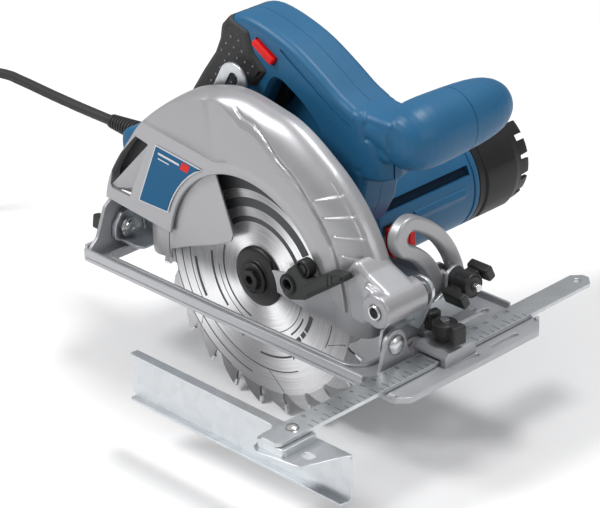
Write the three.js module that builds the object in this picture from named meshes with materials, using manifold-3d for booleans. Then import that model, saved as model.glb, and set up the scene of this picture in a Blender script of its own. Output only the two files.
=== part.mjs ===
// Hand-held circular saw, 190 mm blade, with bevel and depth adjustment,
// retracting lower guard, parallel fence and mains lead.
// Working frame of the dimensions below: X forward along the cut, Y towards the
// motor, Z up, origin under the blade axis on the underside of the shoe.
// The exported group shifts this so that the origin is the centre of the shoe's
// outline, on its underside. Millimetres.
import * as THREE from 'three';
import { mergeVertices } from 'three/addons/utils/BufferGeometryUtils.js';
import Module from 'manifold-3d';

const wasm = await Module();
wasm.setup();

// ---------------------------------------------------------------- dimensions
const GAP = 0.3;                       // clearance between touching pieces
const BLADE_R = 95;                    // 190 mm blade
const BLADE_BORE_R = 15;               // 30 mm bore
const BLADE_TEETH = 24;
const BLADE_PHASE = 58.4;              // degrees, angle of one tooth tip
const AXIS_X = 0, AXIS_Z = 25;         // blade axis: 70 mm depth of cut
const MOTOR_X = 12, MOTOR_Z = 48.1;    // motor axis
const GEAR_MODULE = 1.3, PINION_TEETH = 9, GEAR_TEETH = 31;
const SHOE = { x0: -145, x1: 155, y0: -32.4, y1: 103.9, t: 4, rim: 9 };
const WINDOW = { x0: -125, x1: 107, y0: -22, y1: 31 };
const BEVEL_Y = -2, BEVEL_Z = 19;      // bevel axis, along X
const QUAD_R = 64.5;                   // bevel slot radius
const KNOB_ANGLE = 18;                 // degrees, bevel clamp at rest
const DEPTH_X = 121, DEPTH_Z = 48;     // depth pivot, along Y
const DEPTH_R = 185;                   // depth slot radius
const DEPTH_RANGE = 33;                // degrees
const GUARD_FACE_Y = -14, GUARD_BACK_Y = 10.5, GUARD_WALL = 2.3;
const GUARD_WINDOW_R = 72;
const LOWER_R = 102;                   // outside of the lower guard
const MOTOR_R = 37.7;
const HANDLE_Y = 45, HANDLE_HALF = 18.5;
const BULB = { x: 88, z: 131, r: 21.5 };
const BAR = { x0: 123.5, x1: 140.5, z0: 4.6, z1: 7.4, y0: -122, y1: 165 };
const CORD_D = 7.4;                    // mains lead
const FLOOR_Z = AXIS_Z - BLADE_R;      // the saw's lowest point
const COIL = { x: -425, y: -10, mean: 44.4, layers: 4 };
const ORIGIN = [(SHOE.x0 + SHOE.x1) / 2, (SHOE.y0 + SHOE.y1) / 2 + 0.25, 0];

// ------------------------------------------------------------------- helpers
const rad = (d) => d * Math.PI / 180;

function toSolid(geometry) {
  const g = geometry.clone();
  g.deleteAttribute('normal');
  g.deleteAttribute('uv');
  const m = mergeVertices(g, 1e-4);
  const p = m.attributes.position.array;
  const idx = m.index.array;
  const tri = [];
  let volume = 0;
  for (let i = 0; i < idx.length; i += 3) {
    const a = idx[i], b = idx[i + 1], c = idx[i + 2];
    if (a === b || b === c || c === a) continue;
    tri.push(a, b, c);
    const A = p.slice(3 * a, 3 * a + 3), B = p.slice(3 * b, 3 * b + 3), C = p.slice(3 * c, 3 * c + 3);
    volume += A[0] * (B[1] * C[2] - B[2] * C[1]) - A[1] * (B[0] * C[2] - B[2] * C[0]) + A[2] * (B[0] * C[1] - B[1] * C[0]);
  }
  if (volume < 0) for (let i = 0; i < tri.length; i += 3) [tri[i], tri[i + 1]] = [tri[i + 1], tri[i]];
  return new wasm.Manifold(new wasm.Mesh({
    numProp: 3, vertProperties: new Float32Array(p), triVerts: new Uint32Array(tri),
  }));
}

function toGeometry(solid) {
  const mesh = solid.getMesh();
  const g = new THREE.BufferGeometry();
  g.setAttribute('position', new THREE.BufferAttribute(new Float32Array(mesh.vertProperties), 3));
  g.setIndex(new THREE.BufferAttribute(new Uint32Array(mesh.triVerts), 1));
  const flat = g.toNonIndexed();
  flat.computeVertexNormals();
  return flat;
}

const join = (...s) => s.reduce((a, b) => a.add(b));
const cut = (a, ...s) => s.reduce((x, b) => x.subtract(b), a);

// plane points [a, b] extruded along one axis from lo to hi:
// axis x takes [y, z], axis y takes [x, z], axis z takes [x, y]
function prism(axis, pts, lo, hi, holes = [], bevel = 0, bevelSteps = 1) {
  const shape = new THREE.Shape(pts.map((p) => new THREE.Vector2(p[0], p[1])));
  for (const h of holes) shape.holes.push(new THREE.Path(h.map((p) => new THREE.Vector2(p[0], p[1]))));
  const g = new THREE.ExtrudeGeometry(shape, {
    depth: hi - lo - 2 * bevel, bevelEnabled: bevel > 0, bevelThickness: bevel,
    bevelSize: bevel, bevelOffset: -bevel, bevelSegments: bevelSteps, steps: 1,
  });
  g.translate(0, 0, bevel);
  const m = new THREE.Matrix4();
  if (axis === 'z') m.set(1, 0, 0, 0, 0, 1, 0, 0, 0, 0, 1, lo, 0, 0, 0, 1);
  if (axis === 'y') m.set(1, 0, 0, 0, 0, 0, -1, hi, 0, 1, 0, 0, 0, 0, 0, 1);
  if (axis === 'x') m.set(0, 0, 1, lo, 1, 0, 0, 0, 0, 1, 0, 0, 0, 0, 0, 1);
  g.applyMatrix4(m);
  return toSolid(g);
}

function arc(cx, cy, r, a0, a1, n) {
  const out = [];
  for (let i = 0; i <= n; i++) {
    const a = rad(a0 + (a1 - a0) * i / n);
    out.push([cx + r * Math.cos(a), cy + r * Math.sin(a)]);
  }
  return out;
}
const circle = (cx, cy, r, n) => arc(cx, cy, r, 0, 360, n).slice(0, n);
const sector = (cx, cy, r0, r1, a0, a1, n) => [...arc(cx, cy, r1, a0, a1, n), ...arc(cx, cy, r0, a1, a0, n)];
const rect = (a0, b0, a1, b1) => [[a0, b0], [a1, b0], [a1, b1], [a0, b1]];
function roundRect(a0, b0, a1, b1, r, n = 3) {
  return [...arc(a0 + r, b0 + r, r, 180, 270, n), ...arc(a1 - r, b0 + r, r, 270, 360, n),
    ...arc(a1 - r, b1 - r, r, 0, 90, n), ...arc(a0 + r, b1 - r, r, 90, 180, n)];
}
// slot along an arc, with round ends
function arcSlot(cx, cy, r, half, a0, a1, n, m = 4) {
  const e = (a) => [cx + r * Math.cos(rad(a)), cy + r * Math.sin(rad(a))];
  const [sx, sy] = e(a0), [tx, ty] = e(a1);
  return [...arc(cx, cy, r + half, a0, a1, n), ...arc(tx, ty, half, a1, a1 + 180, m).slice(1, -1),
    ...arc(cx, cy, r - half, a1, a0, n), ...arc(sx, sy, half, a0 + 180, a0 + 360, m).slice(1, -1)];
}
const disc = (axis, a, b, r, lo, hi, n = 14, holeR = 0, hn = n) =>
  prism(axis, circle(a, b, r, n), lo, hi, holeR ? [circle(a, b, holeR, hn)] : []);

// closed profile of [radius, y] points revolved about an axis parallel to Y
function turned(profile, x, z, n = 20) {
  const pts = profile.map((p) => new THREE.Vector2(Math.max(p[0], 0), p[1]));
  const onAxis = profile[0][0] === 0 && profile[profile.length - 1][0] === 0;
  if (!onAxis) pts.push(pts[0].clone());
  const g = new THREE.LatheGeometry(pts, n);
  g.translate(x, 0, z);
  return toSolid(g);
}
// the same about an axis parallel to X or Z; the profile's second value runs along it
function turnedAlong(axis, profile, a, b, n = 14) {
  const pts = profile.map((p) => new THREE.Vector2(Math.max(p[0], 0), p[1]));
  const onAxis = profile[0][0] === 0 && profile[profile.length - 1][0] === 0;
  if (!onAxis) pts.push(pts[0].clone());
  const g = new THREE.LatheGeometry(pts, n);
  if (axis === 'x') { g.rotateZ(-Math.PI / 2); g.translate(0, a, b); }
  if (axis === 'z') { g.rotateX(Math.PI / 2); g.translate(a, b, 0); }
  return toSolid(g);
}

// outline moved inwards by d (outwards when d is negative)
function inset(pts, d) {
  let area = 0;
  pts.forEach((p, i) => { const q = pts[(i + 1) % pts.length]; area += p[0] * q[1] - q[0] * p[1]; });
  const s = area > 0 ? 1 : -1;
  return pts.map((p, i) => {
    const a = pts[(i + pts.length - 1) % pts.length], b = pts[(i + 1) % pts.length];
    const n1 = [-(p[1] - a[1]), p[0] - a[0]], n2 = [-(b[1] - p[1]), b[0] - p[0]];
    const l1 = Math.hypot(...n1), l2 = Math.hypot(...n2);
    const u = [n1[0] / l1 + n2[0] / l2, n1[1] / l1 + n2[1] / l2];
    const l = Math.hypot(...u) || 1;
    const c = Math.max(0.45, (u[0] * n1[0] / l1 + u[1] * n1[1] / l1) / l);
    return [p[0] + s * d * u[0] / l / c, p[1] + s * d * u[1] / l / c];
  });
}

function gearOutline(cx, cz, teeth, module, phase, tipHalf, rootHalf) {
  const rp = module * teeth / 2, rt = rp + 0.75 * module, rr = rp - 1.2 * module;
  const out = [];
  for (let i = 0; i < teeth; i++) {
    const c = phase + 360 * i / teeth;
    for (const [r, a] of [[rr, -rootHalf], [rt, -tipHalf], [rt, tipHalf], [rr, rootHalf]]) {
      const t = rad(c + a * 360 / teeth);
      out.push([cx + r * Math.cos(t), cz + r * Math.sin(t)]);
    }
  }
  return out;
}

// --------------------------------------------------------------------- scene
const saw = new THREE.Group();
saw.position.set(-ORIGIN[0], -ORIGIN[1], 0);

const paint = {
  shoe: { color: 0xc9cacf, roughness: 0.42, metalness: 0.35 },
  silver: { color: 0xbfc0c5, roughness: 0.38, metalness: 0.3 },
  blue: { color: 0x2a648c, roughness: 0.45, metalness: 0 },
  black: { color: 0x1d1d1e, roughness: 0.55, metalness: 0 },
  rubber: { color: 0x232323, roughness: 0.8, metalness: 0 },
  red: { color: 0xdd160f, roughness: 0.35, metalness: 0 },
  zinc: { color: 0xb4bcc0, roughness: 0.35, metalness: 0.9 },
  steel: { color: 0xc3c4c6, roughness: 0.3, metalness: 0.95 },
  darkSteel: { color: 0x6d6e70, roughness: 0.4, metalness: 0.9 },
  copper: { color: 0xb87333, roughness: 0.4, metalness: 0.9 },
  label: { color: 0x27678f, roughness: 0.35, metalness: 0 },
};
function group(parent = saw) { const g = new THREE.Group(); parent.add(g); return g; }
function part(parent, name, solid, finish) {
  const mesh = new THREE.Mesh(toGeometry(solid), new THREE.MeshStandardMaterial(paint[finish]));
  mesh.name = name;
  parent.add(mesh);
  return mesh;
}

// ---------------------------------------------------------------------- shoe
const shoe = group();
{
  const { x0, x1, y0, y1, t, rim } = SHOE;
  const W = WINDOW;
  const outline = [[x0 + 5, y0], [x1 - 7, y0], [x1, y0 + 8], [x1, y1 - 12], [x1 - 10, y1], [x0 + 8, y1], [x0, y1 - 8], [x0, y0 + 5]];
  const window = [[W.x0, W.y0 + 4], [W.x0 + 4, W.y0], ...arc(W.x1 - 12, W.y0 + 12, 12, 270, 360, 4),
    ...arc(W.x1 - 12, W.y1 - 12, 12, 0, 90, 4), [18.6, W.y1], [16, 33.6], [-16, 33.6], [-18.6, W.y1], [W.x0 + 4, W.y1], [W.x0, W.y1 - 4]];
  let s = prism('z', outline, 0, t, [window, roundRect(146, 20, 149, 44, 1.4, 2), roundRect(146, 56, 149, 80, 1.4, 2)]);
  const lip = prism('z', inset(window, -2.6), t - 1, t + 2.2, [window]);
  const leftRim = prism('x', [[y0, 2], [y0 + 4, 2], [y0 + 4, 7], [y0 + 2.4, rim], [y0, rim]], x0 + 5, 121);
  const leftRimFront = prism('x', [[y0, 2], [y0 + 3, 2], [y0 + 3, 6], [y0, 6]], 143, x1 - 7);
  const rightRim = prism('x', [[y1 - 3.4, 2], [y1, 2], [y1, rim - 1], [y1 - 2, rim - 1]], x0 + 8, 121);
  const rightRimFront = prism('x', [[y1 - 3, 2], [y1, 2], [y1, 6], [y1 - 3, 6]], 143, x1 - 10);
  const rearRim = prism('y', [[x0, 2], [x0 + 3, 2], [x0 + 3, rim], [x0, rim]], y0 + 5, y1 - 8);
  // upright ears that carry the bevel pivots
  const rearEar = prism('x', [[-31, 2], [-31, 10], [-24, 16], [-16, 36], [-10, 40], [0, 38], [10, 33], [15, 22], [22, 12], [30, 8], [30, 2]],
    -137, -134, [circle(BEVEL_Y, BEVEL_Z, 4.3, 8)]);
  const frontEar = prism('x', [[-17, 2], [-14, 10], [-11, 20], ...arc(BEVEL_Y, BEVEL_Z, 9.5, 165, 15, 5), [9, 14], [14, 2]],
    117.5, 120.5, [circle(BEVEL_Y, BEVEL_Z, 4.3, 8)]);
  // bridge that the fence bar passes under, with its clamp screw hole
  const bridge = cut(prism('x', [[16, 3], [16, 10], [19, 13], [41, 13], [44, 10], [44, 3]], 118.5, 145.5),
    prism('y', rect(BAR.x0 - 0.8, 3.5, BAR.x1 + 0.8, 8.4), 10, 50), disc('z', 132, 30, 3.4, 5, 16, 8));
  s = join(s, lip, leftRim, leftRimFront, rightRim, rightRimFront, rearRim, rearEar, frontEar, bridge);
  // slot for a guide and a notch that lets the rear knob turn
  s = cut(s, prism('z', roundRect(109.5, 60, 113.5, 92, 1.6, 2), -1, 6), prism('z', rect(x0 - 1, -19, x0 + 3.5, 15), t, rim + 1));
  part(shoe, 'shoe_plate', s, 'shoe');

  // cast bevel quadrant with its curved slot, standing on the shoe
  const mid = 64.8;
  const end = [BEVEL_Y + QUAD_R * Math.cos(rad(mid)), BEVEL_Z + QUAD_R * Math.sin(rad(mid))];
  const q = [...arc(BEVEL_Y, BEVEL_Z, QUAD_R + 14, -6, mid, 9), ...arc(end[0], end[1], 14, mid, mid + 180, 7).slice(1, -1),
    ...arc(BEVEL_Y, BEVEL_Z, QUAD_R - 14, mid, 10, 8), [44, 22], [38, t + GAP], [80, t + GAP], [78, 11]];
  let quad = prism('x', q, 101, 109, [arcSlot(BEVEL_Y, BEVEL_Z, QUAD_R, 4.2, KNOB_ANGLE - 1, 63.8, 7, 3)]);
  quad = join(quad, prism('x', rect(36, t + GAP, 84, 8), 96, 109.5));
  part(shoe, 'bevel_quadrant', quad, 'silver');

  part(shoe, 'front_tilt_rivet', turnedAlong('x', [[0, 111], [3.9, 111], [3.9, 120.8], [6.4, 120.8], [6, 122.6], [3.5, 124], [0, 124.3]], BEVEL_Y, BEVEL_Z, 12), 'steel');
  part(shoe, 'rear_tilt_bolt', turnedAlong('x', [[0, -148], [2.6, -148], [3.9, -147.6], [3.9, -127.7], [7, -127.7], [7, -125.9], [3.4, -124.2], [0, -124.2]], BEVEL_Y, BEVEL_Z, 12), 'steel');
}

// ------------------------------------------------------ rear bevel wing nut
function wingKnob(r, h, wing) {
  // hub with two wings, along +X from 0 to h, about the origin
  const hub = turnedAlong('x', [[2.9, 0], [r, 0], [r, h * 0.75], [r * 0.8, h], [2.9, h]], 0, 0, 12);
  const w = prism('x', [[-wing, 1.5], [-wing, -1.5], [-wing * 0.85, -4], [0, -r * 0.7], [wing * 0.85, -4], [wing, -1.5], [wing, 1.5],
    [wing * 0.85, 4], [0, r * 0.7], [-wing * 0.85, 4]], h * 0.28, h * 0.95, [circle(0, 0, 2.9, 12)]);
  return join(hub, w);
}
const rearKnob = group();
{
  const k = wingKnob(8, 12, 14).rotate([0, 0, 180]).rotate([-8, 0, 0]).translate([-137.6, BEVEL_Y, BEVEL_Z]);
  // clear bore for the bolt that it turns on
  part(rearKnob, 'rear_bevel_knob', cut(k, disc('x', BEVEL_Y, BEVEL_Z, 4.2, -151, -137, 12)), 'black');
}

// --------------------------------------------------------------------- fence
const fence = group();
{
  const bar = prism('z', [[BAR.x0, BAR.y0 + 3], [BAR.x0 + 3, BAR.y0], [BAR.x1 - 3, BAR.y0], [BAR.x1, BAR.y0 + 3], [BAR.x1, BAR.y1 - 6], [BAR.x1 - 6, BAR.y1], [BAR.x0 + 6, BAR.y1], [BAR.x0, BAR.y1 - 6]],
    BAR.z0, BAR.z1, [circle(132, 156, 2.6, 8), circle(132, -102, 2.4, 8)]);
  part(fence, 'fence_bar', bar, 'zinc');
  const web = prism('y', [[-25, -30], [-22, -35], [166, -35], [170, -30], [170, -2], [-20, -1]], -92, -90.4);
  const top = prism('z', [[-20, -92], [-20, -97], [112, -98], [120, -123], [126, -126], [158, -121], [166, -100], [170, -92], [170, -90.4], [-20, -90.4]], -2.4, -0.8);
  const foot = prism('z', [[-22, -97], [166, -97], [166, -90.4], [-22, -90.4]], -35, -33.4);
  const pad = prism('z', rect(120, -121, 144, -93), -2.2, BAR.z0 - GAP, [circle(132, -102, 2.4, 8)]);
  part(fence, 'fence_plate', cut(join(web, top, foot, pad), disc('z', 132, -102, 2.4, -4, 6, 8)), 'zinc');
  for (const [n, y] of [['fence_rivet', -102]])
    part(fence, n, turnedAlong('z', [[0, 9.4], [2.6, 9], [4.2, BAR.z1 + GAP], [2.1, BAR.z1 + GAP], [2.1, -2.7], [4, -2.7], [3.4, -4.4], [0, -4.6]], 132, y, 12), 'steel');
}
const fenceKnob = group();
{
  // steel screw moulded into the knob
  const screw = turnedAlong('z', [[0, 8.2], [2.9, 8.2], [3.1, 20], [0, 20]], 132, 30, 16);
  const k = wingKnob(8.5, 14, 15).rotate([0, -90, 0]).rotate([0, 0, 79]).translate([132, 30, 15]);
  part(fenceKnob, 'fence_knob', join(k, disc('z', 132, 30, 3.2, 15.2, 28.8, 12), screw), 'black');
}

// --------------------------------------------------------------- bevel clamp
const knobYZ = [BEVEL_Y + QUAD_R * Math.cos(rad(KNOB_ANGLE)), BEVEL_Z + QUAD_R * Math.sin(rad(KNOB_ANGLE))];
const tilt = group();
{
  // front bracket: upright sheet across the saw with an ear that holds the depth pivot
  const sheet = prism('x', [[-10, 12], [-6, 28], [2, 31], [18, 33], [24.5, 34], [40, 30], [52, 34], ...arc(knobYZ[0], knobYZ[1], 9, 150, 0, 5), [72, 24], [66, 14], [20, 12.5]],
    111.6, 114.1, [circle(BEVEL_Y, BEVEL_Z, 4.3, 8), circle(knobYZ[0], knobYZ[1], 3.3, 8), circle(38, 21, 3.4, 8)]);
  const ear = prism('y', [[111.6, 20], [111.6, 54], ...arc(DEPTH_X, DEPTH_Z, 9.5, 150, -30, 6), [122, 26], [118, 20]], 20.6, 23.1, [circle(DEPTH_X, DEPTH_Z, 5.3, 12)]);
  part(tilt, 'front_tilt_bracket', join(sheet, ear), 'zinc');
  part(tilt, 'depth_pivot_pin', turned([[0, -19], [3.0, -19], [3.0, -21.4], [5, -21.4], [5, 23.6], [7, 23.6], [7, 26], [0, 26]], DEPTH_X, DEPTH_Z, 12), 'steel');

  const rear = prism('x', [[-13, 12], [-9, 9], [8, 8], [14.6, 10], [14.6, 30], [8, 33], [-6, 29.5], [-12, 22]], -133.4, -130.9, [circle(BEVEL_Y, BEVEL_Z, 4.3, 8)]);
  const flange = prism('z', [[-133.4, -9], [-112, -9], [-108, -6.5], [-108, 13], [-133.4, 13]], 9.4, 11.4);
  part(tilt, 'rear_tilt_bracket', join(rear, flange), 'zinc');

  const slotTop = 148, slotLow = slotTop + DEPTH_RANGE + 3;
  const e0 = [DEPTH_X + DEPTH_R * Math.cos(rad(148.5)), DEPTH_Z + DEPTH_R * Math.sin(rad(148.5))];
  const plate = [...arc(e0[0], e0[1], 12, 149 - 180, 149, 7), ...arc(DEPTH_X, DEPTH_Z, DEPTH_R + 12, 150, 186, 9),
    [-76, 24], [-126, 28], [-130.6, 26], [-130.6, 12], [-110, 12.2], [-66, 8], [-54, 12], ...arc(DEPTH_X, DEPTH_Z, DEPTH_R - 12, 190, 150, 9)];
  part(tilt, 'depth_quadrant', prism('y', plate, 14.9, 17.3, [arcSlot(DEPTH_X, DEPTH_Z, DEPTH_R, 3.9, slotTop, slotLow, 9)]), 'zinc');
}
const bevelKnob = group();
{
  const bolt = turnedAlong('x', [[0, 97.5], [6, 97.5], [6, 100.6], [2.8, 100.6], [2.8, 134], [0, 134]], knobYZ[0], knobYZ[1], 12);
  part(tilt, 'bevel_clamp_bolt', bolt, 'steel');
  const k = wingKnob(8.5, 19, 16).rotate([25, 0, 0]).translate([114.5, knobYZ[0], knobYZ[1]]);
  part(bevelKnob, 'bevel_knob', cut(k, disc('x', knobYZ[0], knobYZ[1], 3.1, 114, 134.6, 12)), 'black');
}

// --------------------------------------------------------------- upper guard
// radius of the outer rim and of the crease between flat face and dome, by angle
const table = (rows) => (a) => {
  if (a <= rows[0][0]) return rows[0][1];
  for (let i = 1; i < rows.length; i++) if (a <= rows[i][0]) {
    const t = (a - rows[i - 1][0]) / (rows[i][0] - rows[i - 1][0]);
    const s = t * t * (3 - 2 * t);
    return rows[i - 1][1] + s * (rows[i][1] - rows[i - 1][1]);
  }
  return rows[rows.length - 1][1];
};
const rimR = table([[0, 113], [55, 114], [80, 118], [105, 124], [122, 126.5], [145, 129], [172, 139]]);
const creaseR = table([[0, 86], [50, 88], [68, 91], [90, 103], [105, 119], [125, 123.5], [145, 126.5], [172, 136]]);
const main = group();
{
  const sec = (a) => {
    const ro = rimR(a), rc = creaseR(a), yb = 5, w = GUARD_WALL;
    const outer = [[GUARD_WINDOW_R, GUARD_FACE_Y], [rc, GUARD_FACE_Y]];
    const inner = [];
    const N = 3;
    for (let i = 1; i <= N; i++) {
      const t = rad(90 * i / N);
      outer.push([rc + (ro - rc) * Math.sin(t), yb + (GUARD_FACE_Y - yb) * Math.cos(t)]);
    }
    for (let i = N; i >= 0; i--) {
      const t = rad(90 * i / N);
      inner.push([rc - 1 + (ro - w - rc + 1) * Math.sin(t), yb + (GUARD_FACE_Y + w - yb) * Math.cos(t)]);
    }
    return [...outer, [ro, GUARD_BACK_Y], [16, GUARD_BACK_Y], [16, GUARD_BACK_Y - 2.5], [ro - w, GUARD_BACK_Y - 2.5], ...inner, [GUARD_WINDOW_R, GUARD_FACE_Y + w]];
  };
  const A0 = -6, A1 = 196, STEPS = 19;
  const pos = [], index = [];
  const M = sec(0).length;
  for (let i = 0; i <= STEPS; i++) {
    const a = A0 + (A1 - A0) * i / STEPS;
    for (const [r, y] of sec(a)) pos.push(AXIS_X + r * Math.cos(rad(a)), y, AXIS_Z + r * Math.sin(rad(a)));
  }
  for (let i = 0; i < STEPS; i++) for (let j = 0; j < M; j++) {
    const k = (j + 1) % M, a = i * M + j, b = i * M + k, c = (i + 1) * M + k, d = (i + 1) * M + j;
    index.push(a, b, c, a, c, d);
  }
  const capShape = sec(0).map((p) => new THREE.Vector2(p[0], p[1]));
  for (const [ring, flip, ang] of [[0, true, A0], [STEPS, false, A1]]) {
    const tris = THREE.ShapeUtils.triangulateShape(sec(ang).map((p) => new THREE.Vector2(p[0], p[1])), []);
    for (const [a, b, c] of tris) flip ? index.push(ring * M + a, ring * M + c, ring * M + b) : index.push(ring * M + a, ring * M + b, ring * M + c);
  }
  const g = new THREE.BufferGeometry();
  g.setAttribute('position', new THREE.Float32BufferAttribute(pos, 3));
  g.setAttribute('normal', new THREE.Float32BufferAttribute(pos, 3));
  g.setAttribute('uv', new THREE.Float32BufferAttribute(new Array(pos.length / 3 * 2).fill(0), 2));
  g.setIndex(index);
  let guard = toSolid(g);
  if (guard.volume() < 0) throw new Error('guard is inside out');
  const keep = [[-160, 170], [-160, 44], [-137, 43], [-74, 37], [-50, 36], [-29, 22], [-18, 7], [0, 3], [18, 7], [29, 22], [58, 40], [66, 47],
    [76, 41], [92, 32], [104, 30], [109, 32], [109, 60], [120, 62], [130, 70], [130, 170]];
  guard = guard.intersect(prism('y', keep, -30, 30));
  // front horn with the barrel of the depth pivot
  let horn = join(prism('y', [[94, 31], [104, 30], [110.2, 36.5], [121, 37], [132, 48], [126, 58], [108, 66], [98, 74], [88, 60]], GUARD_FACE_Y, 11.5, [], 1.5, 1),
    disc('y', DEPTH_X, DEPTH_Z, 11, -20, 16, 14));
  horn = cut(horn, prism('y', circle(AXIS_X, AXIS_Z, 108.3, 36), GUARD_FACE_Y + GUARD_WALL, GUARD_BACK_Y - 2.5),
    prism('y', circle(AXIS_X, AXIS_Z, 100, 24), GUARD_BACK_Y - 3, 40));
  guard = join(guard, horn);
  // chip outlet through the rear of the face
  const outlet = [[-123, 70], [-99, 97], [-88.5, 90], [-111, 51.5], [-126, 52]];
  guard = cut(guard, disc('y', DEPTH_X, DEPTH_Z, 5.3, -30, 30, 14), prism('y', outlet, GUARD_FACE_Y - 1, GUARD_FACE_Y + GUARD_WALL + 0.5));
  const ramp = prism('z', [[-127.6, -9.6], [-125.4, -11.4], [-88, 2], [-88, 8.6], [-91, 8.6], [-91, 3.6]], 50, 90).intersect(prism('y', inset(outlet, -3), -13, 10));
  guard = join(guard, ramp);
  part(main, 'upper_guard', guard, 'silver');

  part(main, 'guard_label_panel', prism('y', [[-80.5, 97], [-36.5, 92.3], [-50, 81], [-62, 65], [-71, 48], [-101, 51]], GUARD_FACE_Y - 0.9, GUARD_FACE_Y - 0.3), 'label');

  // gear case cover behind the guard, with the nose that the lower guard turns on
  const nose = disc('y', AXIS_X, AXIS_Z, 14.2, 4.7, 12, 18);
  const caseBody = prism('y', [...arc(AXIS_X, AXIS_Z, 24.2, 175, 340, 10), ...arc(MOTOR_X, MOTOR_Z, 34, -38, 150, 12)], GUARD_BACK_Y + GAP, 20);
  let cover = cut(join(nose, caseBody), disc('y', AXIS_X, AXIS_Z, 6.6, 0, 30, 14), disc('y', AXIS_X, AXIS_Z, 11.3, 11, 30, 14),
    disc('y', MOTOR_X, MOTOR_Z, 10, 18, 22, 12));
  part(main, 'gear_case_cover', cover, 'silver');
  part(main, 'spindle_bearing_front', disc('y', AXIS_X, AXIS_Z, 11, 11.3, 18.8, 14, 6.3), 'steel');

  // barrel of the motor with the gear pocket at its front
  const pocketOut = join(prism('y', circle(AXIS_X, AXIS_Z, 24.3, 18), 20.3, 30.8), disc('y', MOTOR_X, MOTOR_Z, MOTOR_R, 20.3, 153.7, 26));
  const cavity = join(disc('y', MOTOR_X, MOTOR_Z, 34.2, 19, 155, 26), disc('y', AXIS_X, AXIS_Z, 22.4, 19, 29.8, 18));
  let housing = cut(pocketOut, cavity, prism('x', roundRect(61.4, 31.4, 84.6, 52.6, 3, 2), 40, 60));
  // raised rib along the barrel
  housing = join(housing, cut(prism('y', [[43, 66], [49, 62], [52.5, 55], [49, 54]], 66, 140), disc('y', MOTOR_X, MOTOR_Z, 36, 50, 150, 26)));
  // rear bearing seat, a vented wall inside the barrel
  const seat = prism('y', circle(MOTOR_X, MOTOR_Z, 35, 26), 134, 146, [circle(MOTOR_X, MOTOR_Z, 9.8, 14),
    roundRect(MOTOR_X - 9, MOTOR_Z + 15, MOTOR_X + 9, MOTOR_Z + 27, 3, 2), roundRect(MOTOR_X - 9, MOTOR_Z - 27, MOTOR_X + 9, MOTOR_Z - 15, 3, 2)]);
  housing = join(housing, seat);
  part(main, 'motor_housing', housing, 'blue');

  const bridge = cut(disc('y', MOTOR_X, MOTOR_Z, 33.9, 31.3, 44, 24), disc('y', AXIS_X, AXIS_Z, 8.3, 31, 38.3, 12), disc('y', AXIS_X, AXIS_Z, 5, 38, 45, 8),
    disc('y', MOTOR_X, MOTOR_Z, 7.4, 31, 45, 12), disc('y', MOTOR_X, MOTOR_Z, 11.3, 35.7, 45, 14));
  part(main, 'bearing_bridge', bridge, 'darkSteel');
  part(main, 'spindle_bearing_rear', disc('y', AXIS_X, AXIS_Z, 7.8, 31.6, 37.6, 12, 4.3), 'steel');
  part(main, 'armature_bearing_front', disc('y', MOTOR_X, MOTOR_Z, 11, 36, 43, 14, 5.3), 'steel');
  part(main, 'stator_core', prism('y', circle(MOTOR_X, MOTOR_Z, 33.8, 24), 62, 106, [circle(MOTOR_X, MOTOR_Z, 24.8, 20)]), 'darkSteel');
  part(main, 'armature_bearing_rear', disc('y', MOTOR_X, MOTOR_Z, 9.5, 137, 144, 14, 4.3), 'steel');
  for (const [side, s] of [['front', 1], ['rear', -1]]) {
    const b = (a0, a1, h, y0, y1) => prism('x', rect(y0, MOTOR_Z - h, y1, MOTOR_Z + h), Math.min(MOTOR_X + s * a0, MOTOR_X + s * a1), Math.max(MOTOR_X + s * a0, MOTOR_X + s * a1));
    part(main, `carbon_brush_${side}`, b(13.4, 30, 3.6, 116, 126), 'black');
  }

  // vented end cap with a ring of ribs at its end
  let cap = turned([[33.6, 154], [MOTOR_R, 154], [MOTOR_R, 190], [36.6, 194], [35.6, 205], [33, 205], [32.6, 197], [0, 197], [0, 193.6], [33.4, 193.6]], MOTOR_X, MOTOR_Z, 24);
  const slots = [];
  for (let i = 0; i < 10; i++) {
    const a = rad(360 * (i + 0.5) / 10), c = Math.cos(a), s = Math.sin(a);
    const o = [MOTOR_X + 34 * c, MOTOR_Z + 34 * s];
    const q = [[-6, -2.6], [6, -2.6], [6, 2.6], [-6, 2.6]].map(([u, v]) => [o[0] + u * c - v * s, o[1] + u * s + v * c]);
    slots.push(prism('y', q, 197.6, 210));
  }
  for (const z of [-14, 0, 14]) slots.push(prism('y', roundRect(MOTOR_X - 20, MOTOR_Z + z - 2, MOTOR_X + 20, MOTOR_Z + z + 2, 1.8, 2), 190, 200));
  part(main, 'motor_end_cap', cut(cap, ...slots), 'black');
}

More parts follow.
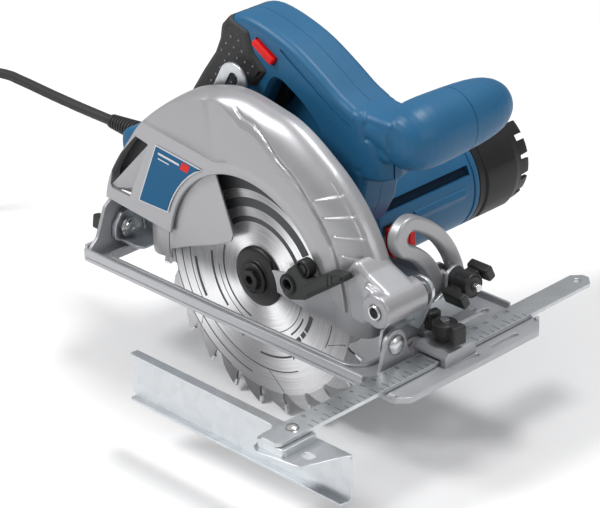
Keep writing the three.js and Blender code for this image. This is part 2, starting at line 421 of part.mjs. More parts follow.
// -------------------------------------------------------------- main handle
const HANDLE = [[62, 144.5], [56, 148], [46, 152.5], [30, 162.5], [8, 174.5], [-14, 182], [-32, 185.4], [-44, 184.4], [-52, 179.5], [-56, 173], [-57.5, 165],
  [-63, 155], [-75, 139.5], [-86, 124], [-95, 109], [-106, 94], [-122, 83], [-142, 76], [-160, 71.5], [-166, 66], [-166, 54], [-160, 49], [-140, 50], [-112, 57], [-84, 63.5], [-50, 62], [-20, 60],
  [10, 60], [52, 62], [62, 80], [66, 100], [66, 106], [62, 110]];
const HAND_HOLE = [[-10, 148], [-22, 128], [-36, 110], [-50, 95], [-53, 88], [-46, 84], [-20, 88], [10, 92], [22, 98], [28, 110], [28, 124], [19, 134], [4, 144]];
const TRIGGER_PIVOT = [-13, 145];
{
  const y0 = HANDLE_Y - HANDLE_HALF, y1 = HANDLE_Y + HANDLE_HALF;
  let body = prism('y', HANDLE, y0, y1, [], 5, 1);
  body = cut(body, prism('y', HAND_HOLE, y0 - 1, y1 + 1), disc('y', MOTOR_X, MOTOR_Z, MOTOR_R + GAP, 0, 100, 30),
    prism('y', circle(AXIS_X, AXIS_Z, 24.8, 18), 0, 100));
  // hollow, 3.2 mm walls
  const hollowOuter = prism('y', inset(HANDLE, 6), y0 + 3.4, y1 - 3.4);
  let hollow = cut(hollowOuter, prism('y', inset(HAND_HOLE, -3.6), y0, y1), disc('y', MOTOR_X, MOTOR_Z, MOTOR_R + 4, 0, 100, 26));
  const pocket = prism('y', [[-9, 151], [-24, 150], [-45, 128], [-45, 117], [-34, 112], [-10, 140], [-4, 146]], HANDLE_Y - 7.6, HANDLE_Y + 7.6);
  const gland = disc('x', HANDLE_Y, 61, 5.4, -170, -150, 10);
  const red = [[-27.5, 169.5], [-24.5, 173.6], [-6.8, 164], [-10.5, 159.2]];
  const redHole = prism('y', inset(red, -0.7), y0 - 2, y0 + 12);
  body = cut(body, hollow, pocket, gland, redHole);
  const half = (lo, hi) => body.intersect(prism('y', rect(-220, 0, 120, 220), lo, hi));
  part(main, 'handle_shell_right', half(0, HANDLE_Y - 0.15), 'blue');
  part(main, 'handle_shell_left', half(HANDLE_Y + 0.15, 100), 'blue');

  const grip = [[-50, 182.6], [-58, 174.5], [-59.8, 165], [-65, 154], [-77, 138.4], [-88, 122.8], [-97, 107.8], [-84, 102], [-62, 112], [-38, 137], [-26, 139], [-14.5, 153], [-27, 164], [-31, 177]];
  const wrap = cut(prism('y', grip, y0 - 1.9, y1 + 1.9, [], 1.2, 1), prism('y', inset(HANDLE, -0.3), y0 - 0.3, y1 + 0.3),
    prism('y', inset(red, -0.7), y0 - 5, y0 + 5));
  part(main, 'rubber_grip', wrap, 'rubber');

  part(main, 'switch_module', prism('y', [[-50, 134], [-47, 128], [-48.2, 126.6], [-56, 118], [-66, 128], [-52, 146], [-42, 152], [-34, 147.5], [-44, 138]], HANDLE_Y - 9, HANDLE_Y + 9), 'black');

  // auxiliary handle in front, halved across its length
  const bulb = turned([[0, 31.5], [11, 33], [17, 37.6], [20.6, 45], [22.1, 56], [21.9, 76], [21.5, 85], [20.2, 105], [17.8, 118], [13, 127.4], [6.5, 132.2], [0, 133.3]], BULB.x, BULB.z, 18);
  const root = prism('y', [[62.6, 144], [62.6, 110], [67.4, 107], [72, 105], [90, 112], [96, 131], [88, 148], [74, 146]], y0 + 1, y1 - 1, [], 3, 1);
  const aux = join(bulb, root);
  part(main, 'front_handle_inner', aux.intersect(prism('x', rect(0, 80, 84.85, 170), 62.4, 130)), 'blue');
  part(main, 'front_handle_outer', aux.intersect(prism('x', rect(85.15, 80, 160, 170), 50, 130)), 'blue');

  // strain relief
  const relief = turnedAlong('x', [[CORD_D / 2 + GAP, -196], [5, -196], [7.2, -168], [7.2, -166.4], [5, -166.4], [5, -156], [CORD_D / 2 + GAP, -156]], HANDLE_Y, 61, 16);
  part(main, 'cord_gland', relief, 'rubber');
  part(main, 'handle_screw', turned([[0, y1 + 0.3], [3.8, y1 + 0.3], [3.4, y1 + 1.6], [0, y1 + 1.9]], 42, 132, 12), 'steel');

  // depth clamp
  const bolt = turned([[0, 10.9], [6.6, 10.9], [6.6, 14.5], [2.9, 14.5], [2.9, 24.6], [0, 24.6]], -64, 43, 12);
  part(main, 'depth_clamp_bolt', bolt, 'steel');
}
const depthLever = group();
{
  const l = cut(join(disc('y', -64, 43, 8, 17.7, 24, 14), prism('y', [[-66, 50], [-96, 53], [-108, 49], [-107, 43], [-96, 44], [-68, 37]], 18.4, 22.6)), disc('y', -64, 43, 3.2, 10, 30, 8));
  part(depthLever, 'depth_clamp_lever', l, 'black');
}

// ------------------------------------------------------- trigger and buttons
const triggerGroup = group();
part(triggerGroup, 'trigger', prism('y', [[-10, 147], [-15.5, 148.4], [-19, 144], [-33.5, 127], [-34, 123], [-29, 119.6], [-21, 121], [-12, 130], [-8.4, 139]], HANDLE_Y - 7, HANDLE_Y + 7, [], 1, 1), 'black');
const lockOff = group();
part(lockOff, 'lock_off_button', prism('y', [[-27.5, 169.5], [-24.5, 173.6], [-6.8, 164], [-10.5, 159.2]], 23, 33, [], 0.8, 1), 'red');
const spindleLock = group();
part(spindleLock, 'spindle_lock_button', prism('x', roundRect(62, 32, 84, 52, 3, 2), 50.6, 57, [], 0.8, 1), 'red');

// ------------------------------------------------------------------ armature
const armature = group();
{
  const gearAngle = Math.atan2(MOTOR_Z - AXIS_Z, MOTOR_X - AXIS_X) * 180 / Math.PI;
  const pinion = prism('y', gearOutline(MOTOR_X, MOTOR_Z, PINION_TEETH, GEAR_MODULE, gearAngle + 180 + 180 / PINION_TEETH, 0.07, 0.2), 22, 30.4);
  const shaft = turned([[0, 22], [4, 22], [4, 30], [5, 30], [5, 134], [4, 134], [4, 147], [0, 147]], MOTOR_X, MOTOR_Z, 12);
  part(armature, 'armature_shaft', join(pinion, shaft), 'steel');
  part(armature, 'armature_core', prism('y', gearOutline(MOTOR_X, MOTOR_Z, 12, 3.6, 0, 0.42, 0.3), 60, 108, [circle(MOTOR_X, MOTOR_Z, 5.3, 10)]), 'copper');
  part(armature, 'commutator', disc('y', MOTOR_X, MOTOR_Z, 13, 113, 129, 18, 5.3, 10), 'copper');
  let fan = join(disc('y', MOTOR_X, MOTOR_Z, 31, 47, 48.6, 20, 5.3, 10), disc('y', MOTOR_X, MOTOR_Z, 11, 47, 56, 12, 5.3, 10));
  for (let i = 0; i < 8; i++) {
    const a = rad(45 * i), b = rad(45 * i + 18);
    const p = (r, t, w) => [MOTOR_X + r * Math.cos(t) - w * Math.sin(t), MOTOR_Z + r * Math.sin(t) + w * Math.cos(t)];
    fan = join(fan, prism('y', [p(10, a, -0.8), p(30.6, b, -0.8), p(30.6, b, 0.8), p(10, a, 0.8)], 48, 56));
  }
  part(armature, 'cooling_fan', fan, 'black');
}

// ------------------------------------------------------------------- spindle
const spindle = group();
{
  const gearAngle = Math.atan2(MOTOR_Z - AXIS_Z, MOTOR_X - AXIS_X) * 180 / Math.PI;
  part(spindle, 'spindle_shaft', turned([[0, -4.2], [6, -4.2], [6, 30.6], [4, 30.6], [4, 37.8], [0, 37.8]], AXIS_X, AXIS_Z, 14), 'steel');
  part(spindle, 'spindle_gear', prism('y', gearOutline(AXIS_X, AXIS_Z, GEAR_TEETH, GEAR_MODULE, gearAngle, 0.1, 0.22), 22.6, 29.2, [circle(AXIS_X, AXIS_Z, 6.3, 12)]), 'darkSteel');
  part(spindle, 'inner_flange', turned([[6.3, -1.6], [14.7, -1.6], [14.7, 0.2], [20, 0.2], [20, 2.4], [12, 4.4], [6.3, 4.4]], AXIS_X, AXIS_Z, 20), 'darkSteel');

  const teeth = [];
  const STEP = 360 / BLADE_TEETH;
  for (let i = 0; i < BLADE_TEETH; i++) {
    const a = BLADE_PHASE + STEP * i;
    // hooked face of the tooth before, its gullet, then this tooth's back up to its tip
    for (const [r, d] of [[86, -16.3], [82, -15.4], [87.5, -9.6], [BLADE_R - 0.8, -2.2], [BLADE_R, 0]]) {
      const t = rad(a + d);
      teeth.push([AXIS_X + r * Math.cos(t), AXIS_Z + r * Math.sin(t)]);
    }
  }
  part(spindle, 'saw_blade', prism('y', teeth, -1.9, -0.1, [circle(AXIS_X, AXIS_Z, BLADE_BORE_R, 20)]), 'steel');
  part(spindle, 'outer_flange', turned([[6.3, -6.4], [11.4, -6.4], [12.4, -5.6], [18.4, -4.6], [20.4, -3.2], [20.4, -2.2], [6.3, -2.2]], AXIS_X, AXIS_Z, 20), 'black');
  const hex = prism('y', circle(AXIS_X, AXIS_Z, 7.6, 6), -11.2, -7.4, [circle(AXIS_X, AXIS_Z, 3.3, 6)]);
  part(spindle, 'blade_bolt', join(hex, disc('y', AXIS_X, AXIS_Z, 11, -8.4, -6.7, 18), disc('y', AXIS_X, AXIS_Z, 5.6, -7.4, -4.5, 12)), 'steel');
}

// --------------------------------------------------------------- lower guard
const lower = group();
{
  const A0 = -5, A1 = 187;
  const ring = turned([[76, -10.5], [88, -10.5], [98, -6.5], [LOWER_R, -1.5], [LOWER_R, 6.6], [70, 6.6], [70, 5], [100.4, 5], [100.4, -1.2], [97, -5.2], [87.6, -9], [76, -9]], AXIS_X, AXIS_Z, 40);
  const wedge = (a0, a1, r) => prism('y', [[AXIS_X, AXIS_Z], ...arc(AXIS_X, AXIS_Z, r, a0, a1, 16)], -30, 30);
  const face = prism('y', [...arc(AXIS_X, AXIS_Z, 77, 128, A1, 8), ...arc(AXIS_X, AXIS_Z, 34, A1, 176, 1), [-31.5, 36], [-28, 44], [-29, 50]], -10.5, -9);
  const spoke = prism('y', [...arc(AXIS_X, AXIS_Z, 77, A0, 19, 4), ...arc(AXIS_X, AXIS_Z, 25, 34, 0, 3)], -10.5, -9);
  const back = prism('y', [...arc(AXIS_X, AXIS_Z, 71, A0, A1, 20), ...arc(AXIS_X, AXIS_Z, 20, A1, 360 + A0, 10).slice(1, -1)], 5, 6.6, [circle(AXIS_X, AXIS_Z, 14.6, 20)]);
  let s = join(ring.intersect(wedge(A0, A1, 120)), face, spoke, back);
  part(lower, 'lower_guard', s, 'silver');

  const hub = disc('y', 33, 36.5, 8, -20, -10.8, 14);
  const arm = prism('y', [[27, 38], [31, 46], [40, 49], [50, 50], [94, 66], [100, 64], [100, 58], [94, 57], [52, 41], [42, 33], [32, 29]], -24, -15.2, [], 0.8, 1);
  part(lower, 'guard_lever', join(hub, arm), 'black');
  part(lower, 'guard_spring', prism('y', sector(AXIS_X, AXIS_Z, 16.6, 18.4, 20, 350, 24), 6.95, 7.75), 'steel');
}

// ----------------------------------------------------------------- mains lead
// straight out of the strain relief, down to the floor behind the saw, then
// wound into a round coil that ends in a two-pin plug lying beside it
{
  const rC = CORD_D / 2;
  const zf = FLOOR_Z + rC;
  const pts = [[-156.3, HANDLE_Y, 61], [-196, HANDLE_Y, 61], [-230, 45.8, 60.8], [-262, 47.4, 60.6], [-292, 49.4, 60.5], [-318, 51.2, 59.8]];
  // S-bend down, then level along the floor to the coil's tangent point
  const yIn = COIL.y + COIL.mean + CORD_D;
  const bend = [[-336, 57.4], [-352, 49.5], [-363, 37], [-369, 22], [-372.5, 4], [-375, -14], [-378.5, -32], [-385, -48], [-396, -59.6], [-410, -65.4]];
  bend.forEach(([x, z], i) => pts.push([x, 51.2 + (yIn - 51.2) * (i + 1) / 11, z]));
  pts.push([-421, yIn, zf]);
  const clip = pts.slice(1);
  const start = new THREE.Vector3(-196 - GAP, HANDLE_Y, 61);
  const path = new THREE.CatmullRomCurve3([start, ...clip.slice(1).map((p) => new THREE.Vector3(...p))], false, 'centripetal');
  const section = new THREE.Shape(circle(0, 0, rC, 8).map((p) => new THREE.Vector2(p[0], p[1])));
  const lead = toSolid(new THREE.ExtrudeGeometry(section, { steps: 22, bevelEnabled: false, extrudePath: path }));
  // the coil's ring keeps clear of the last stretch of the lead
  const R = COIL.mean, d = CORD_D;
  const ring = turnedAlong('z', [[R - 1.5 * d, 0], [R + 1.5 * d, 0], [R + 1.5 * d, 5 * d], [R + 0.5 * d, 5 * d], [R + 0.5 * d, 4 * d], [R - 1.5 * d, 4 * d]].map((p) => [p[0], FLOOR_Z + p[1]]), COIL.x, COIL.y, 26);
  part(saw, 'cord_lead', cut(lead, ring.translate([-0.35, 0, 0]), ring.translate([0.35, 0, 0]), ring.translate([0, 0.35, 0])), 'rubber');
  part(saw, 'cord_coil', ring, 'rubber');

  // tail from the top of the coil down to the plug
  const tail = [[COIL.x + 0.4, COIL.y - R - d, FLOOR_Z + 4.5 * d], [-408, -61.8, -38.2], [-392, -61.8, -43], [-377, -61.8, -51.5], [-363, -61.8, -59.2], [-349.8, -61.8, -61.8]];
  const tailPath = new THREE.CatmullRomCurve3(tail.map((p) => new THREE.Vector3(...p)), false, 'centripetal');
  const tailTube = toSolid(new THREE.ExtrudeGeometry(section, { steps: 10, bevelEnabled: false, extrudePath: tailPath }));
  part(saw, 'cord_tail', cut(tailTube, ring.translate([0.35, 0, 0]), ring.translate([0, 0, 0.35]), ring.translate([0, -0.35, 0])), 'rubber');
  const plug = prism('z', [[-349, -65.8], [-336, -68.5], [-331, -78], [-318, -79.8], [-308, -74], [-305, -66], [-305, -57.6], [-308, -49.6], [-318, -43.8], [-331, -45.6], [-336, -55.1], [-349, -57.8]], FLOOR_Z, FLOOR_Z + 16, [], 1.5, 1);
  part(saw, 'plug_body', plug, 'rubber');
  for (const [n, y] of [['plug_pin_1', -71.3], ['plug_pin_2', -52.3]])
    part(saw, n, turnedAlong('x', [[0, -304.7], [2.4, -304.7], [2.4, -287], [1.6, -285.7], [0, -285.7]], y, FLOOR_Z + 8, 10), 'steel');
}

export default saw;
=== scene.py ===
import bpy, bmesh, math
from math import sin, cos, pi, sqrt, atan2, hypot, degrees
from mathutils import Vector, Matrix


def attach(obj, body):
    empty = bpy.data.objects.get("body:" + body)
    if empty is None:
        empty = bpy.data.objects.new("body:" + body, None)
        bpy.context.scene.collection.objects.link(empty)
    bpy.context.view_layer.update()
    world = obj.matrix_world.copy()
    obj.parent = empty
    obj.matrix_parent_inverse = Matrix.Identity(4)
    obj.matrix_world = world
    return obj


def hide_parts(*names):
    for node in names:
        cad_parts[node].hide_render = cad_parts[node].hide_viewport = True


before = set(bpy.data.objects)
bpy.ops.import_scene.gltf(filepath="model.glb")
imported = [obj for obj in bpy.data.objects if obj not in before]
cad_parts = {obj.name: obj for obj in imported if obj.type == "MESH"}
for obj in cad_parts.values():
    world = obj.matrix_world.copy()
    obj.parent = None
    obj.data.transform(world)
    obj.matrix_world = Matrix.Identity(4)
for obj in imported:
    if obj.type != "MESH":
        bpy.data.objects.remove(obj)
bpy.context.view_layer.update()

S = 0.001
rad = math.radians
SCN = bpy.context.scene
COL = SCN.collection


def P(x, y, z):
    """blade-axis millimetres to row-frame metres"""
    return Vector(((x - 5) * S, (y - 36) * S, z * S))


# ------------------------------------------------------------------ materials
def new_mat(name, color, rough, metal=0.0, coat=0.0):
    m = bpy.data.materials.new(name)
    m.use_nodes = True
    nt = m.node_tree
    b = nt.nodes["Principled BSDF"]
    b.inputs["Base Color"].default_value = (*color, 1)
    b.inputs["Roughness"].default_value = rough
    b.inputs["Metallic"].default_value = metal
    b.inputs["Coat Weight"].default_value = coat
    b.inputs["Coat Roughness"].default_value = 0.25
    return m, nt, b


def node(nt, kind, **inputs):
    n = nt.nodes.new(kind)
    for k, v in inputs.items():
        if k in n.inputs:
            n.inputs[k].default_value = v
    return n


def coords(nt, scale=(1, 1, 1), loc=(0, 0, 0)):
    tc = nt.nodes.new("ShaderNodeTexCoord")
    mp = nt.nodes.new("ShaderNodeMapping")
    mp.inputs["Scale"].default_value = scale
    mp.inputs["Location"].default_value = loc
    nt.links.new(tc.outputs["Object"], mp.inputs["Vector"])
    return mp.outputs["Vector"]


def ramp(nt, fac, stops):
    r = nt.nodes.new("ShaderNodeValToRGB")
    r.color_ramp.elements[0].position, r.color_ramp.elements[0].color = stops[0][0], (*stops[0][1], 1)
    r.color_ramp.elements[1].position, r.color_ramp.elements[1].color = stops[-1][0], (*stops[-1][1], 1)
    for p, c in stops[1:-1]:
        e = r.color_ramp.elements.new(p)
        e.color = (*c, 1)
    nt.links.new(fac, r.inputs["Fac"])
    return r.outputs["Color"]


def grey(v):
    return (v, v, v)


def bump(nt, b, height, strength, distance):
    n = nt.nodes.new("ShaderNodeBump")
    n.inputs["Strength"].default_value = strength
    n.inputs["Distance"].default_value = distance
    nt.links.new(height, n.inputs["Height"])
    nt.links.new(n.outputs["Normal"], b.inputs["Normal"])
    return n


def textured(name, color, rough, metal=0.0, grain=1400, grain_h=0.00004, strength=0.35, vary=0.06, rvary=0.07, coat=0.0, stretch=(1, 1, 1), detail=3.0):
    """moulded or painted surface: slow colour and gloss variation over a fine texture"""
    m, nt, b = new_mat(name, color, rough, metal, coat)
    slow = node(nt, "ShaderNodeTexNoise", Scale=22.0, Detail=4.0, Roughness=0.6)
    nt.links.new(coords(nt), slow.inputs["Vector"])
    lo = tuple(c * (1 - vary) for c in color)
    hi = tuple(min(1, c * (1 + vary)) for c in color)
    nt.links.new(ramp(nt, slow.outputs["Fac"], [(0.3, lo), (0.7, hi)]), b.inputs["Base Color"])
    nt.links.new(ramp(nt, slow.outputs["Fac"], [(0.25, grey(max(0, rough - rvary))), (0.75, grey(rough + rvary))]), b.inputs["Roughness"])
    fine = node(nt, "ShaderNodeTexNoise", Scale=float(grain), Detail=detail, Roughness=0.55)
    nt.links.new(coords(nt, stretch), fine.inputs["Vector"])
    bump(nt, b, fine.outputs["Fac"], strength, grain_h)
    return m


def zinc(name):
    m, nt, b = new_mat(name, (0.60, 0.63, 0.65), 0.3, 0.9)
    v = node(nt, "ShaderNodeTexVoronoi", Scale=120.0)
    nt.links.new(coords(nt), v.inputs["Vector"])
    nt.links.new(ramp(nt, v.outputs["Color"], [(0.0, (0.555, 0.58, 0.60)), (1.0, (0.625, 0.65, 0.67))]), b.inputs["Base Color"])
    n = node(nt, "ShaderNodeTexNoise", Scale=60.0, Detail=6.0)
    nt.links.new(coords(nt, (1, 1, 1)), n.inputs["Vector"])
    nt.links.new(ramp(nt, n.outputs["Fac"], [(0.3, grey(0.30)), (0.7, grey(0.38))]), b.inputs["Roughness"])
    f = node(nt, "ShaderNodeTexNoise", Scale=700.0, Detail=2.0)
    nt.links.new(coords(nt), f.inputs["Vector"])
    bump(nt, b, f.outputs["Fac"], 0.25, 0.00005)
    return m


def blade_mat(name):
    """ground steel: fine rings about the arbor, with painted reflection: brighter and darker sweeps round it stand in
    for the steel's anisotropic highlights
    """
    m, nt, b = new_mat(name, (0.62, 0.62, 0.63), 0.28, 0.93)
    tc = nt.nodes.new("ShaderNodeTexCoord")
    sub = nt.nodes.new("ShaderNodeVectorMath"); sub.operation = "SUBTRACT"
    sub.inputs[1].default_value = tuple(P(0, 0, 25))
    nt.links.new(tc.outputs["Object"], sub.inputs[0])
    sep = nt.nodes.new("ShaderNodeSeparateXYZ")
    nt.links.new(sub.outputs[0], sep.inputs[0])

    def math_(op, a, c=None, v=None):
        n = nt.nodes.new("ShaderNodeMath"); n.operation = op
        nt.links.new(a, n.inputs[0])
        if c is not None: nt.links.new(c, n.inputs[1])
        if v is not None: n.inputs[1].default_value = v
        return n.outputs[0]
    r = math_("SQRT", math_("ADD", math_("MULTIPLY", sep.outputs["X"], sep.outputs["X"]), math_("MULTIPLY", sep.outputs["Z"], sep.outputs["Z"])))
    ang = math_("ARCTAN2", sep.outputs["Z"], sep.outputs["X"])
    comb = nt.nodes.new("ShaderNodeCombineXYZ")
    nt.links.new(math_("MULTIPLY", r, v=2600.0), comb.inputs["X"])
    nt.links.new(math_("MULTIPLY", ang, v=1.2), comb.inputs["Y"])
    rings = node(nt, "ShaderNodeTexNoise", Scale=1.0, Detail=5.0, Roughness=0.7)
    nt.links.new(comb.outputs[0], rings.inputs["Vector"])
    # painted reflection: a fourfold wave round the arbor lightens and darkens the base colour in place of anisotropic
    # highlights
    sweep = math_("SINE", math_("ADD", math_("MULTIPLY", ang, v=4.0), v=-0.9))
    painted_sheen = math_("MULTIPLY", sweep, v=0.2)
    edge = math_("MULTIPLY", math_("GREATER_THAN", r, v=0.0820), v=-0.16)
    tot = math_("ADD", math_("ADD", math_("MULTIPLY", rings.outputs["Fac"], v=0.6), painted_sheen), edge)
    nt.links.new(ramp(nt, tot, [(0.0, (0.20, 0.20, 0.21)), (0.32, (0.52, 0.52, 0.53)), (0.52, (0.90, 0.90, 0.91))]), b.inputs["Base Color"])
    nt.links.new(ramp(nt, tot, [(0.0, grey(0.42)), (0.6, grey(0.26))]), b.inputs["Roughness"])
    bump(nt, b, rings.outputs["Fac"], 0.35, 0.00005)
    return m


def dotted_rubber(name):
    """soft black rubber with a fine bump texture; the raised light dots are separate geometry"""
    m, nt, b = new_mat(name, (0.022, 0.022, 0.023), 0.62, 0.0)
    f = node(nt, "ShaderNodeTexNoise", Scale=900.0, Detail=4.0)
    nt.links.new(coords(nt), f.inputs["Vector"])
    nt.links.new(ramp(nt, f.outputs["Fac"], [(0.35, (0.016, 0.016, 0.017)), (0.65, (0.034, 0.034, 0.036))]), b.inputs["Base Color"])
    bump(nt, b, f.outputs["Fac"], 0.5, 0.00008)
    return m


M = {
    "silver": textured("silver_paint", (0.385, 0.385, 0.40), 0.38, 0.5, grain=1500, grain_h=0.00003, strength=0.3, vary=0.03, coat=0.08),
    "cast": textured("cast_shoe", (0.45, 0.455, 0.475), 0.40, 0.5, grain=900, grain_h=0.00005, strength=0.3, vary=0.05, coat=0.1),
    "blue": textured("blue_plastic", (0.0160, 0.108, 0.225), 0.42, 0.0, grain=1700, grain_h=0.00005, strength=0.4, vary=0.05),
    "black": textured("black_plastic", (0.013, 0.013, 0.014), 0.46, 0.0, grain=1500, grain_h=0.00006, strength=0.45, vary=0.2),
    "knob": textured("knob_plastic", (0.022, 0.022, 0.022), 0.38, 0.0, grain=800, grain_h=0.00005, strength=0.4, vary=0.2),
    "lever": textured("lever_plastic", (0.020, 0.021, 0.021), 0.42, 0.0, grain=1300, grain_h=0.00006, strength=0.5, vary=0.15),
    "cable": textured("cable_rubber", (0.020, 0.020, 0.021), 0.5, 0.0, grain=700, grain_h=0.00006, strength=0.4, vary=0.2),
    "red": textured("red_plastic", (0.66, 0.006, 0.004), 0.42, 0.0, grain=1500, grain_h=0.00003, strength=0.25, vary=0.05),
    "steel": textured("bright_steel", (0.66, 0.66, 0.67), 0.26, 0.95, grain=500, grain_h=0.00003, strength=0.3, vary=0.08),
    "dark": textured("dark_steel", (0.022, 0.022, 0.023), 0.42, 0.2, grain=900, grain_h=0.00005, strength=0.4, vary=0.15),
    "iron": textured("oiled_steel", (0.20, 0.20, 0.21), 0.4, 0.85, grain=500, grain_h=0.00006, strength=0.4, vary=0.2),
    "copper": textured("copper_windings", (0.60, 0.27, 0.12), 0.35, 0.9, grain=400, grain_h=0.0002, strength=0.6, vary=0.15, stretch=(1, 0.1, 1)),
    "label": textured("label_blue", (0.010, 0.098, 0.215), 0.5, 0.0, grain=1200, grain_h=0.00001, strength=0.15, vary=0.04),
    "pale": textured("print_pale", (0.62, 0.63, 0.65), 0.35, 0.2, grain=1200, grain_h=0.00001, strength=0.1, vary=0.03),
    "print": textured("print_dark", (0.05, 0.052, 0.055), 0.45, 0.3, grain=1200, grain_h=0.00001, strength=0.2, vary=0.1),
    # painted shade: near-black blue laid in the barrel groove and the lever's hub hole
    "painted_shade": textured("groove_shadow", (0.003, 0.014, 0.032), 0.6, 0.0, grain=900, grain_h=0.00003, strength=0.3, vary=0.1),
    "hollow": textured("shadow_black", (0.006, 0.006, 0.007), 0.7, 0.0, grain=900, grain_h=0.00003, strength=0.3, vary=0.1),
    "grip": dotted_rubber("grip_rubber"),
    "zinc": zinc("zinc_plate"),
    "blade": blade_mat("blade_steel"),
}

for n_, v_ in (("blue", 0.32), ("black", 0.32), ("knob", 0.35), ("lever", 0.3), ("label", 0.15), ("red", 0.25), ("dark", 0.35), ("painted_shade", 0.1)):
    M[n_].node_tree.nodes["Principled BSDF"].inputs["Specular IOR Level"].default_value = v_

# ------------------------------------------------------------------- geometry
AXES = {
    "x": lambda a, b, c: (c, a, b),
    "y": lambda a, b, c: (a, -c, b),
    "z": lambda a, b, c: (a, b, c),
}


def link(name, me, mat=None, body=None, replaces=(), angle=32, weighted=True):
    ob = bpy.data.objects.new(name, me)
    COL.objects.link(ob)
    if mat:
        me.materials.clear()
        me.materials.append(M[mat])
    for p in me.polygons:
        p.use_smooth = True
    me.set_sharp_from_angle(angle=rad(angle))
    if weighted:
        w = ob.modifiers.new("normals", "WEIGHTED_NORMAL")
        w.keep_sharp = True
        w.weight = 80
    if body:
        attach(ob, body)
    if replaces:
        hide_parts(*replaces)
    return ob


def mesh_from(verts, faces, name="m"):
    me = bpy.data.meshes.new(name)
    me.from_pydata([tuple(v) for v in verts], [], faces)
    bm = bmesh.new(); bm.from_mesh(me)
    bmesh.ops.remove_doubles(bm, verts=bm.verts, dist=1e-6)
    bmesh.ops.recalc_face_normals(bm, faces=bm.faces)
    bm.to_mesh(me); bm.free()
    return me


def plate(axis, outer, lo, hi, holes=(), bevel=0.6, res=3):
    """outline with holes between two planes, with rounded edges; millimetres in, metres out"""
    cu = bpy.data.curves.new("tmp", "CURVE")
    cu.dimensions = "2D"; cu.fill_mode = "BOTH"
    for ring in [outer] + list(holes):
        sp = cu.splines.new("POLY")
        sp.points.add(len(ring) - 1)
        for p, q in zip(sp.points, ring):
            p.co = (q[0], q[1], 0, 1)
        sp.use_cyclic_u = True
    cu.extrude = (hi - lo) / 2 - bevel
    cu.bevel_depth = bevel; cu.bevel_resolution = res; cu.offset = -bevel
    ob = bpy.data.objects.new("tmp", cu)
    COL.objects.link(ob)
    bpy.context.view_layer.update()
    me = bpy.data.meshes.new_from_object(ob.evaluated_get(bpy.context.evaluated_depsgraph_get()))
    bpy.data.objects.remove(ob); bpy.data.curves.remove(cu)
    mid = (lo + hi) / 2
    for v in me.vertices:
        a, b, c = v.co
        x, y, z = AXES[axis](a, b, c)
        if axis == "x": x += mid
        if axis == "y": y += mid
        if axis == "z": z += mid
        v.co = P(x, y, z)
    bm = bmesh.new(); bm.from_mesh(me)
    bmesh.ops.remove_doubles(bm, verts=bm.verts, dist=2e-6)
    bmesh.ops.recalc_face_normals(bm, faces=bm.faces)
    bm.to_mesh(me); bm.free()
    return me


def lathe(axis, profile, a, b, n=64):
    """[radius, along] points revolved about an axis through (a, b); closed unless it starts and ends on the axis"""
    open_ = profile[0][0] < 1e-6 and profile[-1][0] < 1e-6
    verts, faces = [], []
    m = len(profile)
    for i in range(n):
        t = 2 * pi * i / n
        for r, h in profile:
            u, v = r * cos(t), r * sin(t)
            if axis == "y": verts.append(P(a + u, h, b + v))
            if axis == "x": verts.append(P(h, a + u, b + v))
            if axis == "z": verts.append(P(a + u, b + v, h))
    for i in range(n):
        j = (i + 1) % n
        for k in range(m - 1 if open_ else m):
            l = (k + 1) % m
            f = [i * m + k, i * m + l, j * m + l, j * m + k]
            faces.append(f)
    me = bpy.data.meshes.new("lathe")
    me.from_pydata([tuple(v) for v in verts], [], faces)
    bm = bmesh.new(); bm.from_mesh(me)
    bmesh.ops.remove_doubles(bm, verts=bm.verts, dist=1e-6)
    bmesh.ops.dissolve_degenerate(bm, dist=1e-7, edges=bm.edges)
    bmesh.ops.recalc_face_normals(bm, faces=bm.faces)
    bm.to_mesh(me); bm.free()
    return me


def arc(cx, cy, r, a0, a1, n):
    return [(cx + r * cos(rad(a0 + (a1 - a0) * i / n)), cy + r * sin(rad(a0 + (a1 - a0) * i / n))) for i in range(n + 1)]


def circle(cx, cy, r, n=48):
    return arc(cx, cy, r, 0, 360, n)[:-1]


def rnd(pts, r, n=5, closed=True):
    """corners of an outline rounded to about radius r (or one radius per point)"""
    out = []
    N = len(pts)
    for i, p in enumerate(pts):
        rr = r[i] if isinstance(r, (list, tuple)) else r
        if not closed and i in (0, N - 1):
            out.append(tuple(p)); continue
        a, b = Vector(pts[i - 1]), Vector(pts[(i + 1) % N])
        p = Vector(p)
        u, w = a - p, b - p
        lu, lw = u.length, w.length
        if rr <= 0 or lu < 1e-6 or lw < 1e-6:
            out.append(tuple(p)); continue
        ang = u.angle(w)
        if ang > rad(176):
            out.append(tuple(p)); continue
        d = min(rr / math.tan(ang / 2) if ang > 0.02 else lu, lu * 0.48, lw * 0.48)
        s, e = p + u / lu * d, p + w / lw * d
        for k in range(n + 1):
            t = k / n
            out.append(tuple(s * (1 - t) ** 2 + p * 2 * t * (1 - t) + e * t * t))
    return out


def slot_path(cx, cy, r, half, a0, a1, n=24, m=8):
    e = lambda a: (cx + r * cos(rad(a)), cy + r * sin(rad(a)))
    s, t = e(a0), e(a1)
    return arc(cx, cy, r + half, a0, a1, n) + arc(t[0], t[1], half, a1, a1 + 180, m)[1:-1] + arc(cx, cy, r - half, a1, a0, n) + arc(s[0], s[1], half, a0 + 180, a0 + 360, m)[1:-1]


def rrect(a0, b0, a1, b1, r, n=6):
    return arc(a0 + r, b0 + r, r, 180, 270, n) + arc(a1 - r, b0 + r, r, 270, 360, n) + arc(a1 - r, b1 - r, r, 0, 90, n) + arc(a0 + r, b1 - r, r, 90, 180, n)


